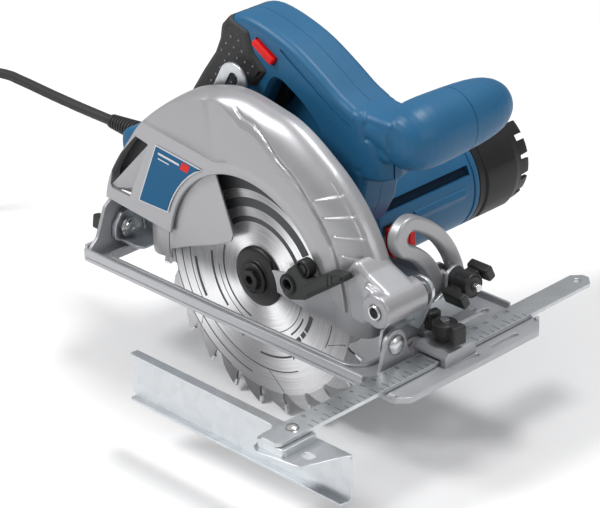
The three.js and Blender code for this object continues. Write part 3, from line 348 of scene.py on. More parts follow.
def merge(*meshes):
    """several meshes in one, keeping their material slots"""
    bm = bmesh.new()
    mats = []
    for me in meshes:
        n0 = len(bm.faces)
        bm.from_mesh(me)
        bm.faces.ensure_lookup_table()
        remap = []
        for m in me.materials:
            if m not in mats: mats.append(m)
            remap.append(mats.index(m))
        for f in bm.faces[n0:]:
            f.material_index = remap[f.material_index] if remap else 0
    out = bpy.data.meshes.new("merged")
    bm.to_mesh(out); bm.free()
    for m in mats: out.materials.append(m)
    return out


def paint(me, mat):
    me.materials.clear(); me.materials.append(M[mat])
    return me


def turn_mesh(me, origin, axis, deg):
    T = Matrix.Translation(origin) @ Matrix.Rotation(rad(deg), 4, axis) @ Matrix.Translation(-origin)
    me.transform(T)
    return me


def boolean(a, b, op="DIFFERENCE"):
    """exact boolean of two meshes in metres, done at millimetre size"""
    oa = bpy.data.objects.new("a", a.copy()); ob = bpy.data.objects.new("b", b.copy())
    for o in (oa, ob):
        o.data.transform(Matrix.Scale(1000, 4)); COL.objects.link(o)
    m = oa.modifiers.new("b", "BOOLEAN"); m.operation = op; m.object = ob; m.solver = "EXACT"
    bpy.context.view_layer.update()
    me = bpy.data.meshes.new_from_object(oa.evaluated_get(bpy.context.evaluated_depsgraph_get()))
    me.transform(Matrix.Scale(0.001, 4))
    for o in (oa, ob): bpy.data.objects.remove(o)
    return me


def remesh(me, voxel, smooth=8, factor=0.5):
    """one skin over several overlapping solids, with soft fillets where they meet"""
    o = bpy.data.objects.new("r", me.copy())
    o.data.transform(Matrix.Scale(1000, 4)); COL.objects.link(o)
    m = o.modifiers.new("r", "REMESH"); m.mode = "VOXEL"; m.voxel_size = voxel
    s = o.modifiers.new("s", "SMOOTH"); s.iterations = smooth; s.factor = factor
    bpy.context.view_layer.update()
    out = bpy.data.meshes.new_from_object(o.evaluated_get(bpy.context.evaluated_depsgraph_get()))
    out.transform(Matrix.Scale(0.001, 4))
    bpy.data.objects.remove(o)
    return out


# --------------------------------------------------------------------- camera
cam_d = bpy.data.cameras.new("camera")
cam = bpy.data.objects.new("camera", cam_d)
COL.objects.link(cam)
az, el, roll = rad(46.38), rad(26.33), rad(-1.81)
dist, target = 1645.3, Vector((36.09, 0, 51.80))
back = Vector((sin(az) * cos(el), -cos(az) * cos(el), sin(el)))
back = Vector((0.6488, -0.6184, 0.4435)).normalized()
right = Vector((0.6997, 0.7139, -0.0283)); right = (right - back * right.dot(back)).normalized()
up = back.cross(right).normalized()
pos = Vector((1103.6, -1017.4, 781.5))
mw = Matrix((right, up, back)).transposed().to_4x4()
mw.translation = P(*pos)
cam.matrix_world = mw
cam_d.sensor_fit = "HORIZONTAL"; cam_d.sensor_width = 36.0
cam_d.lens = 2620.5 * 36.0 / 600.0
cam_d.clip_start, cam_d.clip_end = 0.05, 50
SCN.camera = cam

# ------------------------------------------------------------ floor and light
FLOOR = -0.0703
fm = textured("studio_floor", (0.86, 0.86, 0.865), 0.7, 0.0, grain=200, grain_h=0.00002, strength=0.1, vary=0.005)
fl = mesh_from([(-6, -6, FLOOR), (6, -6, FLOOR), (6, 6, FLOOR), (-6, 6, FLOOR)], [(0, 1, 2, 3)])
floor = bpy.data.objects.new("floor", fl); COL.objects.link(floor)
fl.materials.append(fm)
world = bpy.data.worlds.new("studio") if not SCN.world else SCN.world
SCN.world = world
world.use_nodes = True
world.node_tree.nodes["Background"].inputs["Color"].default_value = (1, 1, 1, 1)
wn = world.node_tree
wtc = wn.nodes.new("ShaderNodeTexCoord")
wsep = wn.nodes.new("ShaderNodeSeparateXYZ")
wn.links.new(wtc.outputs["Generated"], wsep.inputs[0])
wn.links.new(ramp(wn, wsep.outputs["Z"], [(0.0, grey(0.35)), (0.22, grey(0.55)), (0.55, grey(1.0)), (1.0, grey(1.0))]), wn.nodes["Background"].inputs["Color"])
world.node_tree.nodes["Background"].inputs["Strength"].default_value = 0.50
SCN.view_settings.view_transform = "Standard"


def area(name, loc, aim, size, power, sy=None):
    l = bpy.data.lights.new(name, "AREA")
    l.shape = "RECTANGLE"; l.size = size; l.size_y = sy or size; l.energy = power
    o = bpy.data.objects.new(name, l); COL.objects.link(o)
    o.location = loc
    o.rotation_euler = (Vector(aim) - Vector(loc)).to_track_quat("-Z", "Y").to_euler()
    return o


area("key", (-0.9, -1.3, 1.8), (0, 0, 0.05), 0.7, 34)
area("top", (0.2, 0.5, 1.9), (0, 0, 0.05), 0.8, 20, 0.5)
area("fill", (1.9, 0.1, 0.9), (0, 0, 0.05), 0.6, 5)

# ----------------------------------------------------------------- mains cord
D = 7.4
FZ = -70 + D / 2
route = [(-196.3, 45, 61), (-212, 45.3, 60.95), (-230, 45.8, 60.8), (-246, 46.6, 60.7), (-262, 47.4, 60.6), (-277, 48.4, 60.55), (-292, 49.4, 60.5), (-306, 50.3, 60.3), (-318, 51.2, 59.8)]
bend = [(-336, 57.4), (-352, 49.5), (-363, 37), (-369, 22), (-372.5, 4), (-375, -14), (-378.5, -32), (-385, -48), (-396, -59.6), (-410, -65.4)]
for i, (x, z) in enumerate(bend):
    route.append((x, 51.2 + (41.8 - 51.2) * (i + 1) / 11, z))
CX, CY, R0 = -425.0, -10.0, 44.4
sm = lambda t: max(0.0, min(1.0, t)) ** 2 * (3 - 2 * max(0.0, min(1.0, t)))
cols = [1, 0, -1, -1, 0, 1, 1, 0, -1, -1, 0, 1, 1]
STEPS = 28
for i in range(int(12.5 * STEPS) + 1):
    turn = i / STEPS
    k = min(int(turn), 12)
    f = turn - k
    nxt = cols[k + 1] if k + 1 < len(cols) else cols[k]
    w = sm((f - 0.74) / 0.26) if k < 12 else 0
    col = cols[k] + (nxt - cols[k]) * w
    layer = k // 3 + (w if k % 3 == 2 else 0)
    if k == 12: layer = 4
    phi = rad(90 + 360 * turn)
    r = R0 + D * col
    route.append((CX + r * cos(phi), CY + r * sin(phi), FZ + D * layer))
route += [(-416, -61.8, -37.3), (-408, -61.8, -38.4), (-400, -61.8, -40.3), (-392, -61.8, -43), (-384, -61.8, -46.9), (-377, -61.8, -51.2), (-370, -61.8, -55.6), (-363, -61.8, -59.0), (-356, -61.8, -61.2), (-349.2, -61.8, -61.9)]


def cat(points, per=3):
    out = []
    for i in range(len(points) - 1):
        p0 = Vector(points[max(i - 1, 0)]); p1 = Vector(points[i]); p2 = Vector(points[i + 1]); p3 = Vector(points[min(i + 2, len(points) - 1)])
        for k in range(per):
            t = k / per
            out.append(0.5 * ((2 * p1) + (p2 - p0) * t + (2 * p0 - 5 * p1 + 4 * p2 - p3) * t * t + (3 * p1 - p0 - 3 * p2 + p3) * t ** 3))
    out.append(Vector(points[-1]))
    return out


lead_pts = cat(route[:21], 3)[:-1] + [Vector(p) for p in route[20:]]
cc = bpy.data.curves.new("mains_cord", "CURVE")
cc.dimensions = "3D"
sp = cc.splines.new("POLY"); sp.points.add(len(lead_pts) - 1)
for p, q in zip(sp.points, lead_pts):
    p.co = (*P(*q), 1)
cc.bevel_depth = D / 2 * S; cc.bevel_resolution = 5; cc.use_fill_caps = True
cc.materials.append(M["cable"])
cord = bpy.data.objects.new("mains_cord", cc); COL.objects.link(cord)
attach(cord, "main")
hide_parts("cord_lead", "cord_coil", "cord_tail")


def shrink(pts, d):
    bm = []
    A = sum(pts[i][0] * pts[(i + 1) % len(pts)][1] - pts[(i + 1) % len(pts)][0] * pts[i][1] for i in range(len(pts)))
    s = 1 if A > 0 else -1
    for i, p in enumerate(pts):
        a, b = pts[i - 1], pts[(i + 1) % len(pts)]
        n1 = Vector((-(p[1] - a[1]), p[0] - a[0])).normalized(); n2 = Vector((-(b[1] - p[1]), b[0] - p[0])).normalized()
        u = (n1 + n2); u = u.normalized() if u.length > 1e-6 else n1
        c = max(0.45, u.dot(n1))
        bm.append((p[0] + s * d * u.x / c, p[1] + s * d * u.y / c))
    return bm


# ---------------------------------------------------------------- upper guard
def table(rows):
    def f(a):
        if a <= rows[0][0]: return rows[0][1]
        for i in range(1, len(rows)):
            if a <= rows[i][0]:
                t = (a - rows[i - 1][0]) / (rows[i][0] - rows[i - 1][0])
                return rows[i - 1][1] + t * t * (3 - 2 * t) * (rows[i][1] - rows[i - 1][1])
        return rows[-1][1]
    return f


rimR = table([[0, 113], [55, 114], [80, 118], [105, 124], [122, 126.5], [145, 129], [172, 139]])
creaseR = table([[0, 86], [50, 88], [68, 91], [90, 103], [105, 119], [125, 123.5], [145, 126.5], [172, 136]])
F2 = Vector((-25.3, 100.6)); FN = Vector((0.112, 0.9937))


def face_y(a, r):
    x, z = r * cos(rad(a)), 25 + r * sin(rad(a))
    if a > 108.5:
        h = (Vector((x, z)) - F2).dot(FN)
    else:
        h = r - 79.7
    h = max(0.0, h)
    edge = 0.6 * math.exp(-((h - 0.9) / 0.8) ** 2) if a > 100 and h > 0 else 0
    return -14 + 0.15 * h - edge


def guard_section(a):
    ro, rc = rimR(a), creaseR(a)
    out = [(72.0, -11.9), (72.0, -13.4), (72.5, -14.0), (73.6, -14.0), (74.0, -13.75), (75.5, -13.75)]
    den = FN.x * cos(rad(a)) + FN.y * sin(rad(a))
    r0 = 79.7 if a <= 108.5 else (72.29 / den if den > 0.3 else 999.0)
    r0 = min(r0, rc - 2.6)
    samples = [75.5 + (r0 - 0.8 - 75.5) * k / 5 for k in range(1, 6)] + [r0, r0 + 0.45, r0 + 0.9, r0 + 1.4, r0 + 2.0] + [r0 + 2.0 + (rc - r0 - 2.0) * k / 7 for k in range(1, 8)]
    for r in samples:
        out.append((r, face_y(a, r) + 0.25 * math.exp(-(r - 75.5) / 2)))
    yc = face_y(a, rc)
    t0 = rad(16)
    w = 2.6 + 4.2 * sm((a - 20) / 85)
    N = 30
    span = ro - rc
    ribs = sm((a - 15) / 4) * (1 - sm((a - 52) / 3))
    for k in range(1, N + 1):
        f = k / N
        t = t0 + (pi / 2 - t0) * (0.55 * f + 0.45 * f * f)
        r = rc + span * (sin(t) - sin(t0)) / (1 - sin(t0))
        y = 5 + (yc - 5) * cos(t) / cos(t0)
        u = r - rc
        d = 0.0
        if span > 12:
            s_ = sm((span - 12) / 6)
            d += s_ * 0.85 * sm(u / 0.8) * (1 - sm((u - w) / 0.8))
            d -= s_ * 0.9 * math.exp(-((u - w - 1.3) / 0.7) ** 2)
        if ribs > 0:
            q = (a + 0.32 * u - 24) / 7.6
            fr = q - math.floor(q)
            zone = sm((u - w - 3) / 1.5) * (1 - sm((u - 23) / 2))
            if 0 < q < 4: d += ribs * zone * (0.9 * fr * (1 - sm((fr - 0.88) / 0.12)) - 0.35 * math.exp(-((fr - 0.97) / 0.05) ** 2))
            d -= ribs * 0.7 * math.exp(-((u - 23.2) / 0.6) ** 2)
            d += ribs * 0.35 * math.exp(-((u - 24.6) / 0.7) ** 2)
        out.append((r + d * sin(t), y - d * cos(t)))
    out += [(ro, 9.6), (ro - 0.3, 10.2), (ro - 0.9, 10.5), (16.6, 10.5), (16, 9.9), (16, 8.0), (ro - 2.9, 8.0), (ro - 2.3, 7.4)]
    for k in range(12, -1, -1):
        t = rad(90 * k / 12)
        out.append((rc - 1 + (ro - 2.3 - rc + 1) * sin(t), 5 + (yc + 1.9 - 5) * cos(t)))
    out.append((r0 - 1.0, -11.7))
    out.append((74.0, -11.4))
    return out


angs = []
a = -6.0
while a < 196:
    angs.append(a)
    a += 0.45 if 12 < a < 56 else 1.1
angs.append(196.0)
verts, faces = [], []
m_ = len(guard_section(0))
for a in angs:
    for r, y in guard_section(a):
        verts.append(P(r * cos(rad(a)), y, 25 + r * sin(rad(a))))
for i in range(len(angs) - 1):
    for j in range(m_):
        k = (j + 1) % m_
        faces.append((i * m_ + j, i * m_ + k, (i + 1) * m_ + k, (i + 1) * m_ + j))
faces.append(tuple(range(m_)))
faces.append(tuple(reversed([(len(angs) - 1) * m_ + j for j in range(m_)])))
guard = mesh_from(verts, faces)
keep = [(-160, 170), (-160, 44), (-137, 43), (-74, 37), (-50, 36), (-29, 22), (-18, 7), (0, 3), (18, 7), (29, 22), (58, 40), (66, 47),
        (76, 41), (92, 32), (104, 30), (109, 32), (109, 60), (120, 62), (130, 70), (130, 170)]
guard = boolean(guard, plate("y", rnd(keep, 3, 5), -30, 30, bevel=0.01, res=0), "INTERSECT")
horn_o = [(94, 31), (104, 30), (110.2, 36.5), (121, 37), (132, 48), (126, 58), (108, 66), (98, 74), (88, 60)]
horn = merge(plate("y", rnd(horn_o, 5, 6), -13.9, 11.5, bevel=3.0, res=5),
             lathe("y", [(0, -20), (9.6, -20), (10.6, -19.6), (11, -18.8), (11, 15.4), (10.4, 16), (0, 16)], 121, 48, 48),
             plate("y", rnd([(108, 36), (121, 37.5), (131, 48), (121, 58.5), (108, 62)], 3, 5), -17.5, 13.5, bevel=2.0, res=4))
horn = remesh(horn, 0.7, 6)
horn = boolean(horn, lathe("y", [(0, -11.7), (108.3, -11.7), (108.3, 8), (100, 8), (100, 40), (0, 40)], 0, 25, 90))
guard = boolean(guard, horn, "UNION")
outlet = rnd([(-129.6, 54), (-127, 65), (-117, 80), (-101, 97), (-88.4, 94.6), (-110.4, 50.4), (-128, 51.4)], [1.5, 4, 4, 2, 1.5, 1.5, 1.5], 4)
guard = boolean(guard, plate("y", outlet, -15, -5.5, bevel=0.01, res=0))
guard = boolean(guard, lathe("y", [(0, -30), (5.35, -30), (5.35, 30), (0, 30)], 121, 48, 32))
ramp_t = [(-130.6, -12.9, 52.0), (-88.2, -12.9, 95.2), (-109.8, -7.0, 49.4)]
ramp_v = [P(*p) for p in ramp_t] + [P(p[0], p[1] + 1.2, p[2]) for p in ramp_t]
rampm = mesh_from(ramp_v, [(0, 1, 2), (5, 4, 3), (0, 3, 4, 1), (1, 4, 5, 2), (2, 5, 3, 0)])
# dark plate behind the chip outlet: painted shade of the hollow inside the guard
outlet_shade_plate = plate("y", shrink(outlet, -1.2), -5.4, -4.6, bevel=0.2, res=2)
for me_ in (guard,): paint(me_, "silver")
link("upper_guard_cover", merge(guard, paint(rampm, "silver"), paint(outlet_shade_plate, "dark")), None, "main", ["upper_guard"], angle=38)

# rating panel: pale rim, blue field, plain bars and a small red square
lab = [(-80.5, 97), (-36.5, 92.3), (-50, 81), (-62, 65), (-71, 48), (-101, 51)]
lab_arc = [(-80.5, 97), (-37.2, 92.4)] + [(76.5 * cos(rad(t)), 25 + 76.5 * sin(rad(t))) for t in (119, 124, 130, 136, 142, 148, 154, 160)] + [(-101, 51)]


p1 = paint(plate("y", rnd(lab_arc, 1.2, 4), -14.7, -14.25, bevel=0.15, res=2), "pale")
p2 = paint(plate("y", rnd(shrink(lab_arc, 0.9), 0.8, 4), -14.95, -14.5, bevel=0.12, res=2), "label")
bars = []
for (x0, z0, x1, z1, wd) in [(-78, 91.0, -58, 88.8, 1.5), (-78.5, 87.6, -68, 86.4, 0.8)]:
    d = Vector((x1 - x0, z1 - z0)).normalized(); n = Vector((-d.y, d.x)) * wd
    bars.append(paint(plate("y", [(x0, z0), (x1, z1), (x1 + n.x, z1 + n.y), (x0 + n.x, z0 + n.y)], -15.1, -14.8, bevel=0.08, res=1), "pale"))
sq = paint(plate("y", rnd([(-57.6, 86.8), (-50.2, 86.0), (-47.4, 91.6), (-54.6, 92.4)], 0.5, 3), -15.1, -14.8, bevel=0.08, res=1), "red")
link("rating_panel", merge(p1, p2, sq, *bars), None, "main", ["guard_label_panel"])

# ---------------------------------------------------------------- lower guard
def ring_sector(profile, a0, a1, n):
    v, f = [], []
    m = len(profile)
    for i in range(n + 1):
        t = rad(a0 + (a1 - a0) * i / n)
        for r, y in profile: v.append(P(r * cos(t), y, 25 + r * sin(t)))
    for i in range(n):
        for j in range(m):
            k = (j + 1) % m
            f.append((i * m + j, i * m + k, (i + 1) * m + k, (i + 1) * m + j))
    f.append(tuple(range(m))); f.append(tuple(reversed([n * m + j for j in range(m)])))
    return mesh_from(v, f)


lg_prof = [(76, -10.1), (76.4, -10.5), (87, -10.5), (90, -10.2), (94, -8.9), (98, -6.5), (100.6, -4), (101.7, -1.8), (102, 0.5), (102, 6.2), (101.6, 6.6), (70, 6.6), (70, 5), (100.4, 5), (100.4, -1.2), (99.4, -3.2), (97, -5.2), (93, -7.6), (89.6, -8.8), (87.6, -9), (76, -9)]
lg = ring_sector(lg_prof, -5, 187, 150)
face_o = arc(0, 25, 77.5, 113, 187, 36) + [(-74.6, 22.5), (-56.6, 30.2), (-31, 39.9), (-16.4, 46.8), (-14, 52.6)]
face_o = rnd(face_o, [0.8 if i < 38 else 5 for i in range(len(face_o))], 6)
facem = plate("y", face_o, -10.5, -9, bevel=0.45, res=3)
spoke = plate("y", arc(0, 25, 77, -5, 19, 10) + arc(0, 25, 25, 34, 0, 6), -10.5, -9, bevel=0.3, res=2)
backm = plate("y", arc(0, 25, 71, -5, 187, 90) + arc(0, 25, 20, 187, 355, 40)[1:-1], 5.02, 6.58, holes=[circle(0, 25, 14.6, 48)], bevel=0.3, res=2)
lg = merge(lg, facem, spoke, backm)
rim_edge = []
link("lower_guard_cover", paint(lg, "silver"), None, "lower_guard", ["lower_guard"], angle=35)

# lever that lifts the guard: ringed hub and a bent, ribbed arm
hub = lathe("y", [(3.5, -24.3), (3.9, -24.9), (5.4, -24.9), (5.7, -24.2), (6.2, -24.2), (6.6, -24.6), (6.9, -24.0), (6.9, -10.8), (3.5, -10.8)], 49.5, 44, 48)
drum = lathe("y", [(0, -21.8), (3.0, -21.8), (3.3, -20.8), (4.6, -20.8), (4.9, -21.8), (5.6, -21.8), (6.1, -21.2), (6.2, -15.4), (0, -15.2)], 60.5, 57.2, 40)
# pin filling the hub hole, painted shade for the dark hole
hub_hole_shade = paint(lathe("y", [(0, -20.6), (2.9, -20.6), (3.5, -20.0), (3.5, -11), (0, -11)], 49.5, 44, 32), "painted_shade")
arm_o = [(42.6, 40.5), (44, 46.5), (49, 54.1), (55.9, 60.1), (63.8, 52), (73.6, 56.4), (84, 63.4), (97, 66), (99.4, 62.8), (63.6, 37.6), (50, 33.2), (44.6, 35.5)]
armm = boolean(plate("y", rnd(arm_o, [4, 5, 4, 2, 2.5, 3, 3, 2, 2, 1.0, 4, 4], 5), -23.8, -15.2, bevel=1.1, res=4), lathe("y", [(0, -30), (3.6, -30), (3.6, 0), (0, 0)], 49.5, 44, 32))
step_ = plate("y", rnd([(64.6, 47.6), (64.6, 41.4), (97.2, 63.2), (95.6, 65.0), (84.6, 62.4), (74.2, 55.2)], [1.2, 1.2, 1.6, 1.6, 2, 2], 4), -24.9, -23.2, bevel=0.6, res=3)
lines_ = merge(*[plate("y", [(x - 0.3, 40), (x + 0.3, 40), (x + 0.3, 76), (x - 0.3, 76)], -26, -24.4, bevel=0.01, res=0) for x in (85.5, 89.5)])
lev = paint(merge(hub, armm, drum, boolean(step_, lines_)), "lever")
link("guard_lever_arm", merge(lev, hub_hole_shade), None, "lower_guard", ["guard_lever"])

# ---------------------------------------------------------------------- blade
teeth = []
STEP = 15.0
for i in range(24):
    a = 58.4 + STEP * i
    tooth = [(86.5, -16.35), (84.2, -16.5), (82.2, -16.0), (81.4, -14.9), (81.7, -13.6), (83.2, -12.4), (86.6, -10.6), (89.6, -8.8), (90.6, -7.6), (90.2, -6.4), (90.8, -5.4), (93.6, -2.6), (95.0, -0.75), (95.0, 0.0)]
    tooth = [(90.4, -15.5), (87.2, -16.0), (84.2, -16.2), (82.2, -15.6), (81.4, -14.5), (81.9, -13.2), (84.4, -11.6), (87.5, -9.6), (90.4, -7.0), (93.0, -3.6), (94.4, -1.9), (95.0, -0.35), (95.0, 0.0)]
    for r, d in tooth:
        t = rad(a + d); teeth.append((r * cos(t), 25 + r * sin(t)))
slots = []
for k in range(6):
    a0 = 58.4 - 14.5 + 60 * k
    s_ = []
    for f in range(9):
        r = 82.5 - 15 * f / 8; t = a0 - 9 * (f / 8) ** 1.5
        s_.append((r, t))
    w_ = 0.35
    ring = [((r) * cos(rad(t + degrees(w_ / r))), 25 + r * sin(rad(t + degrees(w_ / r)))) for r, t in s_[1:]] + \
           [((r) * cos(rad(t - degrees(w_ / r))), 25 + r * sin(rad(t - degrees(w_ / r)))) for r, t in reversed(s_[1:])]
    slots.append(ring)
blade = paint(plate("y", teeth, -1.9, -0.1, holes=[circle(0, 25, 15, 48)] + slots, bevel=0.12, res=1), "blade")
tips = []
for i in range(24):
    a = 58.4 + STEP * i
    q = []
    for r, d in [(95.0, 0.05), (94.95, -1.3), (91.2, -1.1), (89.2, -0.55), (89.4, 0.05)]:
        t = rad(a + d); q.append((r * cos(t), 25 + r * sin(t)))
    tips.append(plate("y", q, -2.15, 0.15, bevel=0.12, res=1))
tips = paint(merge(*tips), "steel")
pr = []
YB = (-2.0, -1.85)


def band(r0a, r0b, r1a, r1b, a0, a1, n=40):
    """dark sweep whose inner and outer radius change along it: print, and in one place painted shadow of the guard rim
    """
    o = [((r1a + (r1b - r1a) * i / n) * cos(rad(a0 + (a1 - a0) * i / n)), 25 + (r1a + (r1b - r1a) * i / n) * sin(rad(a0 + (a1 - a0) * i / n))) for i in range(n + 1)]
    q = [((r0a + (r0b - r0a) * i / n) * cos(rad(a0 + (a1 - a0) * i / n)), 25 + (r0a + (r0b - r0a) * i / n) * sin(rad(a0 + (a1 - a0) * i / n))) for i in range(n, -1, -1)]
    return plate("y", o + q, YB[0], YB[1], bevel=0.03, res=0)


# the third sweep widens out to the guard's window edge: print where it is narrow, painted shadow of the guard rim on
# the blade where it widens
for args in [(48.2, 46.6, 55.2, 52.6, 33, 128), (38.4, 36.6, 41.8, 40.2, 28, 128), (58.6, 59.4, 60.2, 76.0, 60, 128), (60.2, 60.2, 62.6, 62.6, 186, 212), (44.0, 44.0, 46.0, 46.0, 176, 226), (33.0, 33.0, 34.4, 34.4, 160, 254), (66, 66, 66.7, 66.7, 120, 300), (74.2, 74.2, 75.1, 75.1, 150, 262), (81.6, 81.6, 82.2, 82.2, 158, 248), (38.6, 38.6, 39.2, 39.2, 186, 352),
             (66, 66, 66.7, 66.7, -28, 18)]:
    pr.append(band(*args))
# rotation arrow and plain bars where a blade's print would be
pr.append(band(55.4, 55.4, 56.8, 56.8, 268, 300, 12))
pr.append(band(53.6, 56.1, 58.6, 56.2, 300, 305, 4))
for (a0, a1, r0, r1) in [(306, 318, 47, 50.2), (320, 326, 47, 50.2), (328, 344, 47, 50.2), (310, 336, 42.4, 43.6), (228, 233, 50, 53), (235, 238, 50, 53), (240, 246, 50, 53), (248, 251, 50, 53)]:
    pr.append(band(r0, r0, r1, r1, a0, a1, 8))
blade_print_and_shadow = paint(merge(*pr), "print")
link("blade_with_tips", merge(blade, tips, blade_print_and_shadow), None, "spindle", ["saw_blade"], angle=30)

# clamping flange with two flats, washer and socket bolt
fl_prof = [(6.3, -6.4), (11.4, -6.4), (11.9, -6.1), (12.2, -5.7), (15.2, -5.3), (17.6, -4.9), (19.2, -4.3), (20.1, -3.6), (20.4, -2.9), (20.3, -2.4), (20, -2.2), (6.3, -2.2)]
flange = lathe("y", fl_prof, 0, 25, 72)
cutter = merge(plate("y", [(17.2, 0), (30, 0), (30, 50), (17.2, 50)], -8, -3.4, bevel=0.02, res=0), plate("y", [(-30, 0), (-17.2, 0), (-17.2, 50), (-30, 50)], -8, -3.4, bevel=0.02, res=0))
turn_mesh(cutter, P(0, 0, 25), "Y", -20)
flange = boolean(flange, cutter)
link("clamp_flange", paint(flange, "dark"), None, "spindle", ["outer_flange"], angle=35)
hexo = [(7.6 * cos(rad(60 * i + 12)), 25 + 7.6 * sin(rad(60 * i + 12))) for i in range(6)]
hexm = plate("y", rnd(hexo, 0.5, 3), -11.2, -7.4, holes=[[(3.3 * cos(rad(60 * i + 12)), 25 + 3.3 * sin(rad(60 * i + 12))) for i in range(6)]], bevel=0.5, res=3)
wash = lathe("y", [(0, -7.5), (9.9, -8.4), (10.6, -8.3), (11, -7.9), (11, -7.1), (10.6, -6.7), (0, -6.7)], 0, 25, 56)
core = lathe("y", [(0, -8.2), (5.4, -8.2), (5.6, -4.5), (0, -4.5)], 0, 25, 24)
link("arbor_bolt", paint(merge(hexm, wash, core), "dark"), None, "spindle", ["blade_bolt"], angle=35)

# ----------------------------------------------------------------------- shoe
so = [(-140, -32.4), (148, -32.4), (155, -24.4), (155, 91.9), (145, 103.9), (-137, 103.9), (-145, 95.9), (-145, -27.4)]
win = [(-125, -18), (-121, -22)] + arc(95, -10, 12, 270, 360, 8) + arc(95, 19, 12, 0, 90, 8) + [(18.6, 31), (16, 33.6), (-16, 33.6), (-18.6, 31), (-121, 31), (-125, 27)]
win_r = rnd(win, [3] * 2 + [0] * 18 + [1.5] * 4 + [3, 3], 4)
base = plate("z", rnd(so, 4, 6), 0, 4, holes=[win_r, rrect(146, 20, 149, 44, 1.4), rrect(146, 56, 149, 80, 1.4), rrect(109.5, 60, 113.5, 92, 1.6)], bevel=0.7, res=3)
lipm = plate("z", shrink(win_r, -2.6), 3.4, 6.2, holes=[shrink(win_r, -0.02)], bevel=0.7, res=3)
lefto = [(-32.4, 2), (-28.4, 2), (-28.4, 7), (-30, 9), (-32.4, 9)]
left = plate("x", rnd(lefto, 0.9, 4), -140, 121, bevel=0.5, res=2)
left2 = plate("x", rnd([(-32.4, 2), (-29.4, 2), (-29.4, 6), (-32.4, 6)], 0.8, 4), 143, 148, bevel=0.5, res=2)
inner = plate("z", rnd([(-118, -25.6), (118, -25.6), (118, -24.6), (-118, -24.6)], 0.4, 2), 3.5, 5.2, bevel=0.3, res=2)
steps_ = []
for x0, x1 in [(-60, -18), (20, 62)]:
    steps_.append(plate("z", rnd([(x0, -29.2), (x0 + 7, -26.4), (x1 - 7, -26.4), (x1, -29.2)], 1, 3), 3.6, 6.6, bevel=0.6, res=2))
right_ = plate("x", rnd([(100.5, 2), (103.9, 2), (103.9, 8), (101.9, 8)], 0.8, 4), -137, 121, bevel=0.5, res=2)
right2 = plate("x", rnd([(100.9, 2), (103.9, 2), (103.9, 6), (100.9, 6)], 0.8, 4), 143, 145, bevel=0.3, res=2)
rr1 = plate("y", rnd([(-145, 2), (-142, 2), (-142, 9), (-145, 9)], 0.9, 4), -27.4, -19, bevel=0.5, res=2)
rr2 = plate("y", rnd([(-145, 2), (-142, 2), (-142, 9), (-145, 9)], 0.9, 4), 15, 95.9, bevel=0.5, res=2)
ear_r = plate("x", rnd([(-31, 2), (-31, 10), (-24, 16), (-16, 36), (-10, 40), (0, 38), (10, 33), (15, 22), (22, 12), (30, 8), (30, 2)], 5, 6), -137, -134, holes=[circle(-2, 19, 4.3, 24)], bevel=0.5, res=3)
ear_f = plate("x", rnd([(-17, 2), (-14, 10), (-11, 20)], 2, 3, False) + arc(-2, 19, 9.5, 165, 15, 16) + [(9, 14), (14, 2)], 117.5, 120.5, holes=[circle(-2, 19, 4.3, 24)], bevel=0.5, res=3)
bridge = boolean(plate("x", rnd([(16, 3), (16, 10), (19, 13), (41, 13), (44, 10), (44, 3)], 2, 4), 118.5, 145.5, bevel=0.7, res=3),
                 plate("y", [(122.7, 3.5), (141.3, 3.5), (141.3, 8.4), (122.7, 8.4)], 10, 50, bevel=0.01, res=0))
bridge = boolean(bridge, lathe("z", [(0, 5), (3.4, 5), (3.4, 16), (0, 16)], 132, 30, 24))
shoe = merge(base, lipm, left, left2, inner, *steps_, right_, right2, rr1, rr2, ear_r, ear_f, bridge)
link("shoe_casting", paint(shoe, "cast"), None, "shoe", ["shoe_plate"], angle=35)

# cast quadrant with a thick round-edged arc
q_o = arc(-2, 19, 78.5, -6, 64.8, 40) + arc(-2 + 64.5 * cos(rad(64.8)), 19 + 64.5 * sin(rad(64.8)), 14, 64.8, 244.8, 20)[1:-1] + arc(-2, 19, 50.5, 64.8, 10, 36) + [(44, 22), (38, 4.3), (80, 4.3), (78, 11)]
quad = plate("x", q_o, 100.2, 109.4, holes=[slot_path(-2, 19, 64.5, 4.2, 17, 63.8)], bevel=2.4, res=6)
rib1 = plate("x", slot_path(-2, 19, 64.5, 9.8, 20, 62, 30, 10), 100.8, 109.9, holes=[slot_path(-2, 19, 64.5, 6.4, 18, 63, 30, 10)], bevel=0.8, res=3)
foot = plate("x", rnd([(36, 4.3), (84, 4.3), (84, 8), (36, 8)], 1, 3), 96, 109.5, bevel=0.5, res=2)
gus = plate("y", rnd([(96.5, 5), (109, 5), (109, 26), (104, 26)], 1.5, 3), 60, 63, bevel=0.6, res=2)
link("bevel_arc", paint(merge(quad, foot, gus), "silver"), None, "shoe", ["bevel_quadrant"], angle=40)

link("front_pivot_rivet", paint(lathe("x", [(0, 111), (3.9, 111), (3.9, 120.8), (6.2, 120.8), (6.4, 121.4), (6.1, 122.4), (4.6, 123.5), (2.4, 124.2), (0, 124.3)], -2, 19, 40), "steel"), None, "shoe", ["front_tilt_rivet"])
link("rear_pivot_bolt", paint(lathe("x", [(0, -147.4), (2.6, -148), (3.5, -147.8), (3.9, -147.2), (3.9, -127.7), (6.8, -127.7), (7, -127.4), (7, -126.1), (6.7, -125.7), (5.2, -125.5), (5.0, -124.6), (3.4, -124.2), (2.4, -124.4), (0, -124.9)], -2, 19, 40), "steel"), None, "shoe", ["rear_tilt_bolt"])


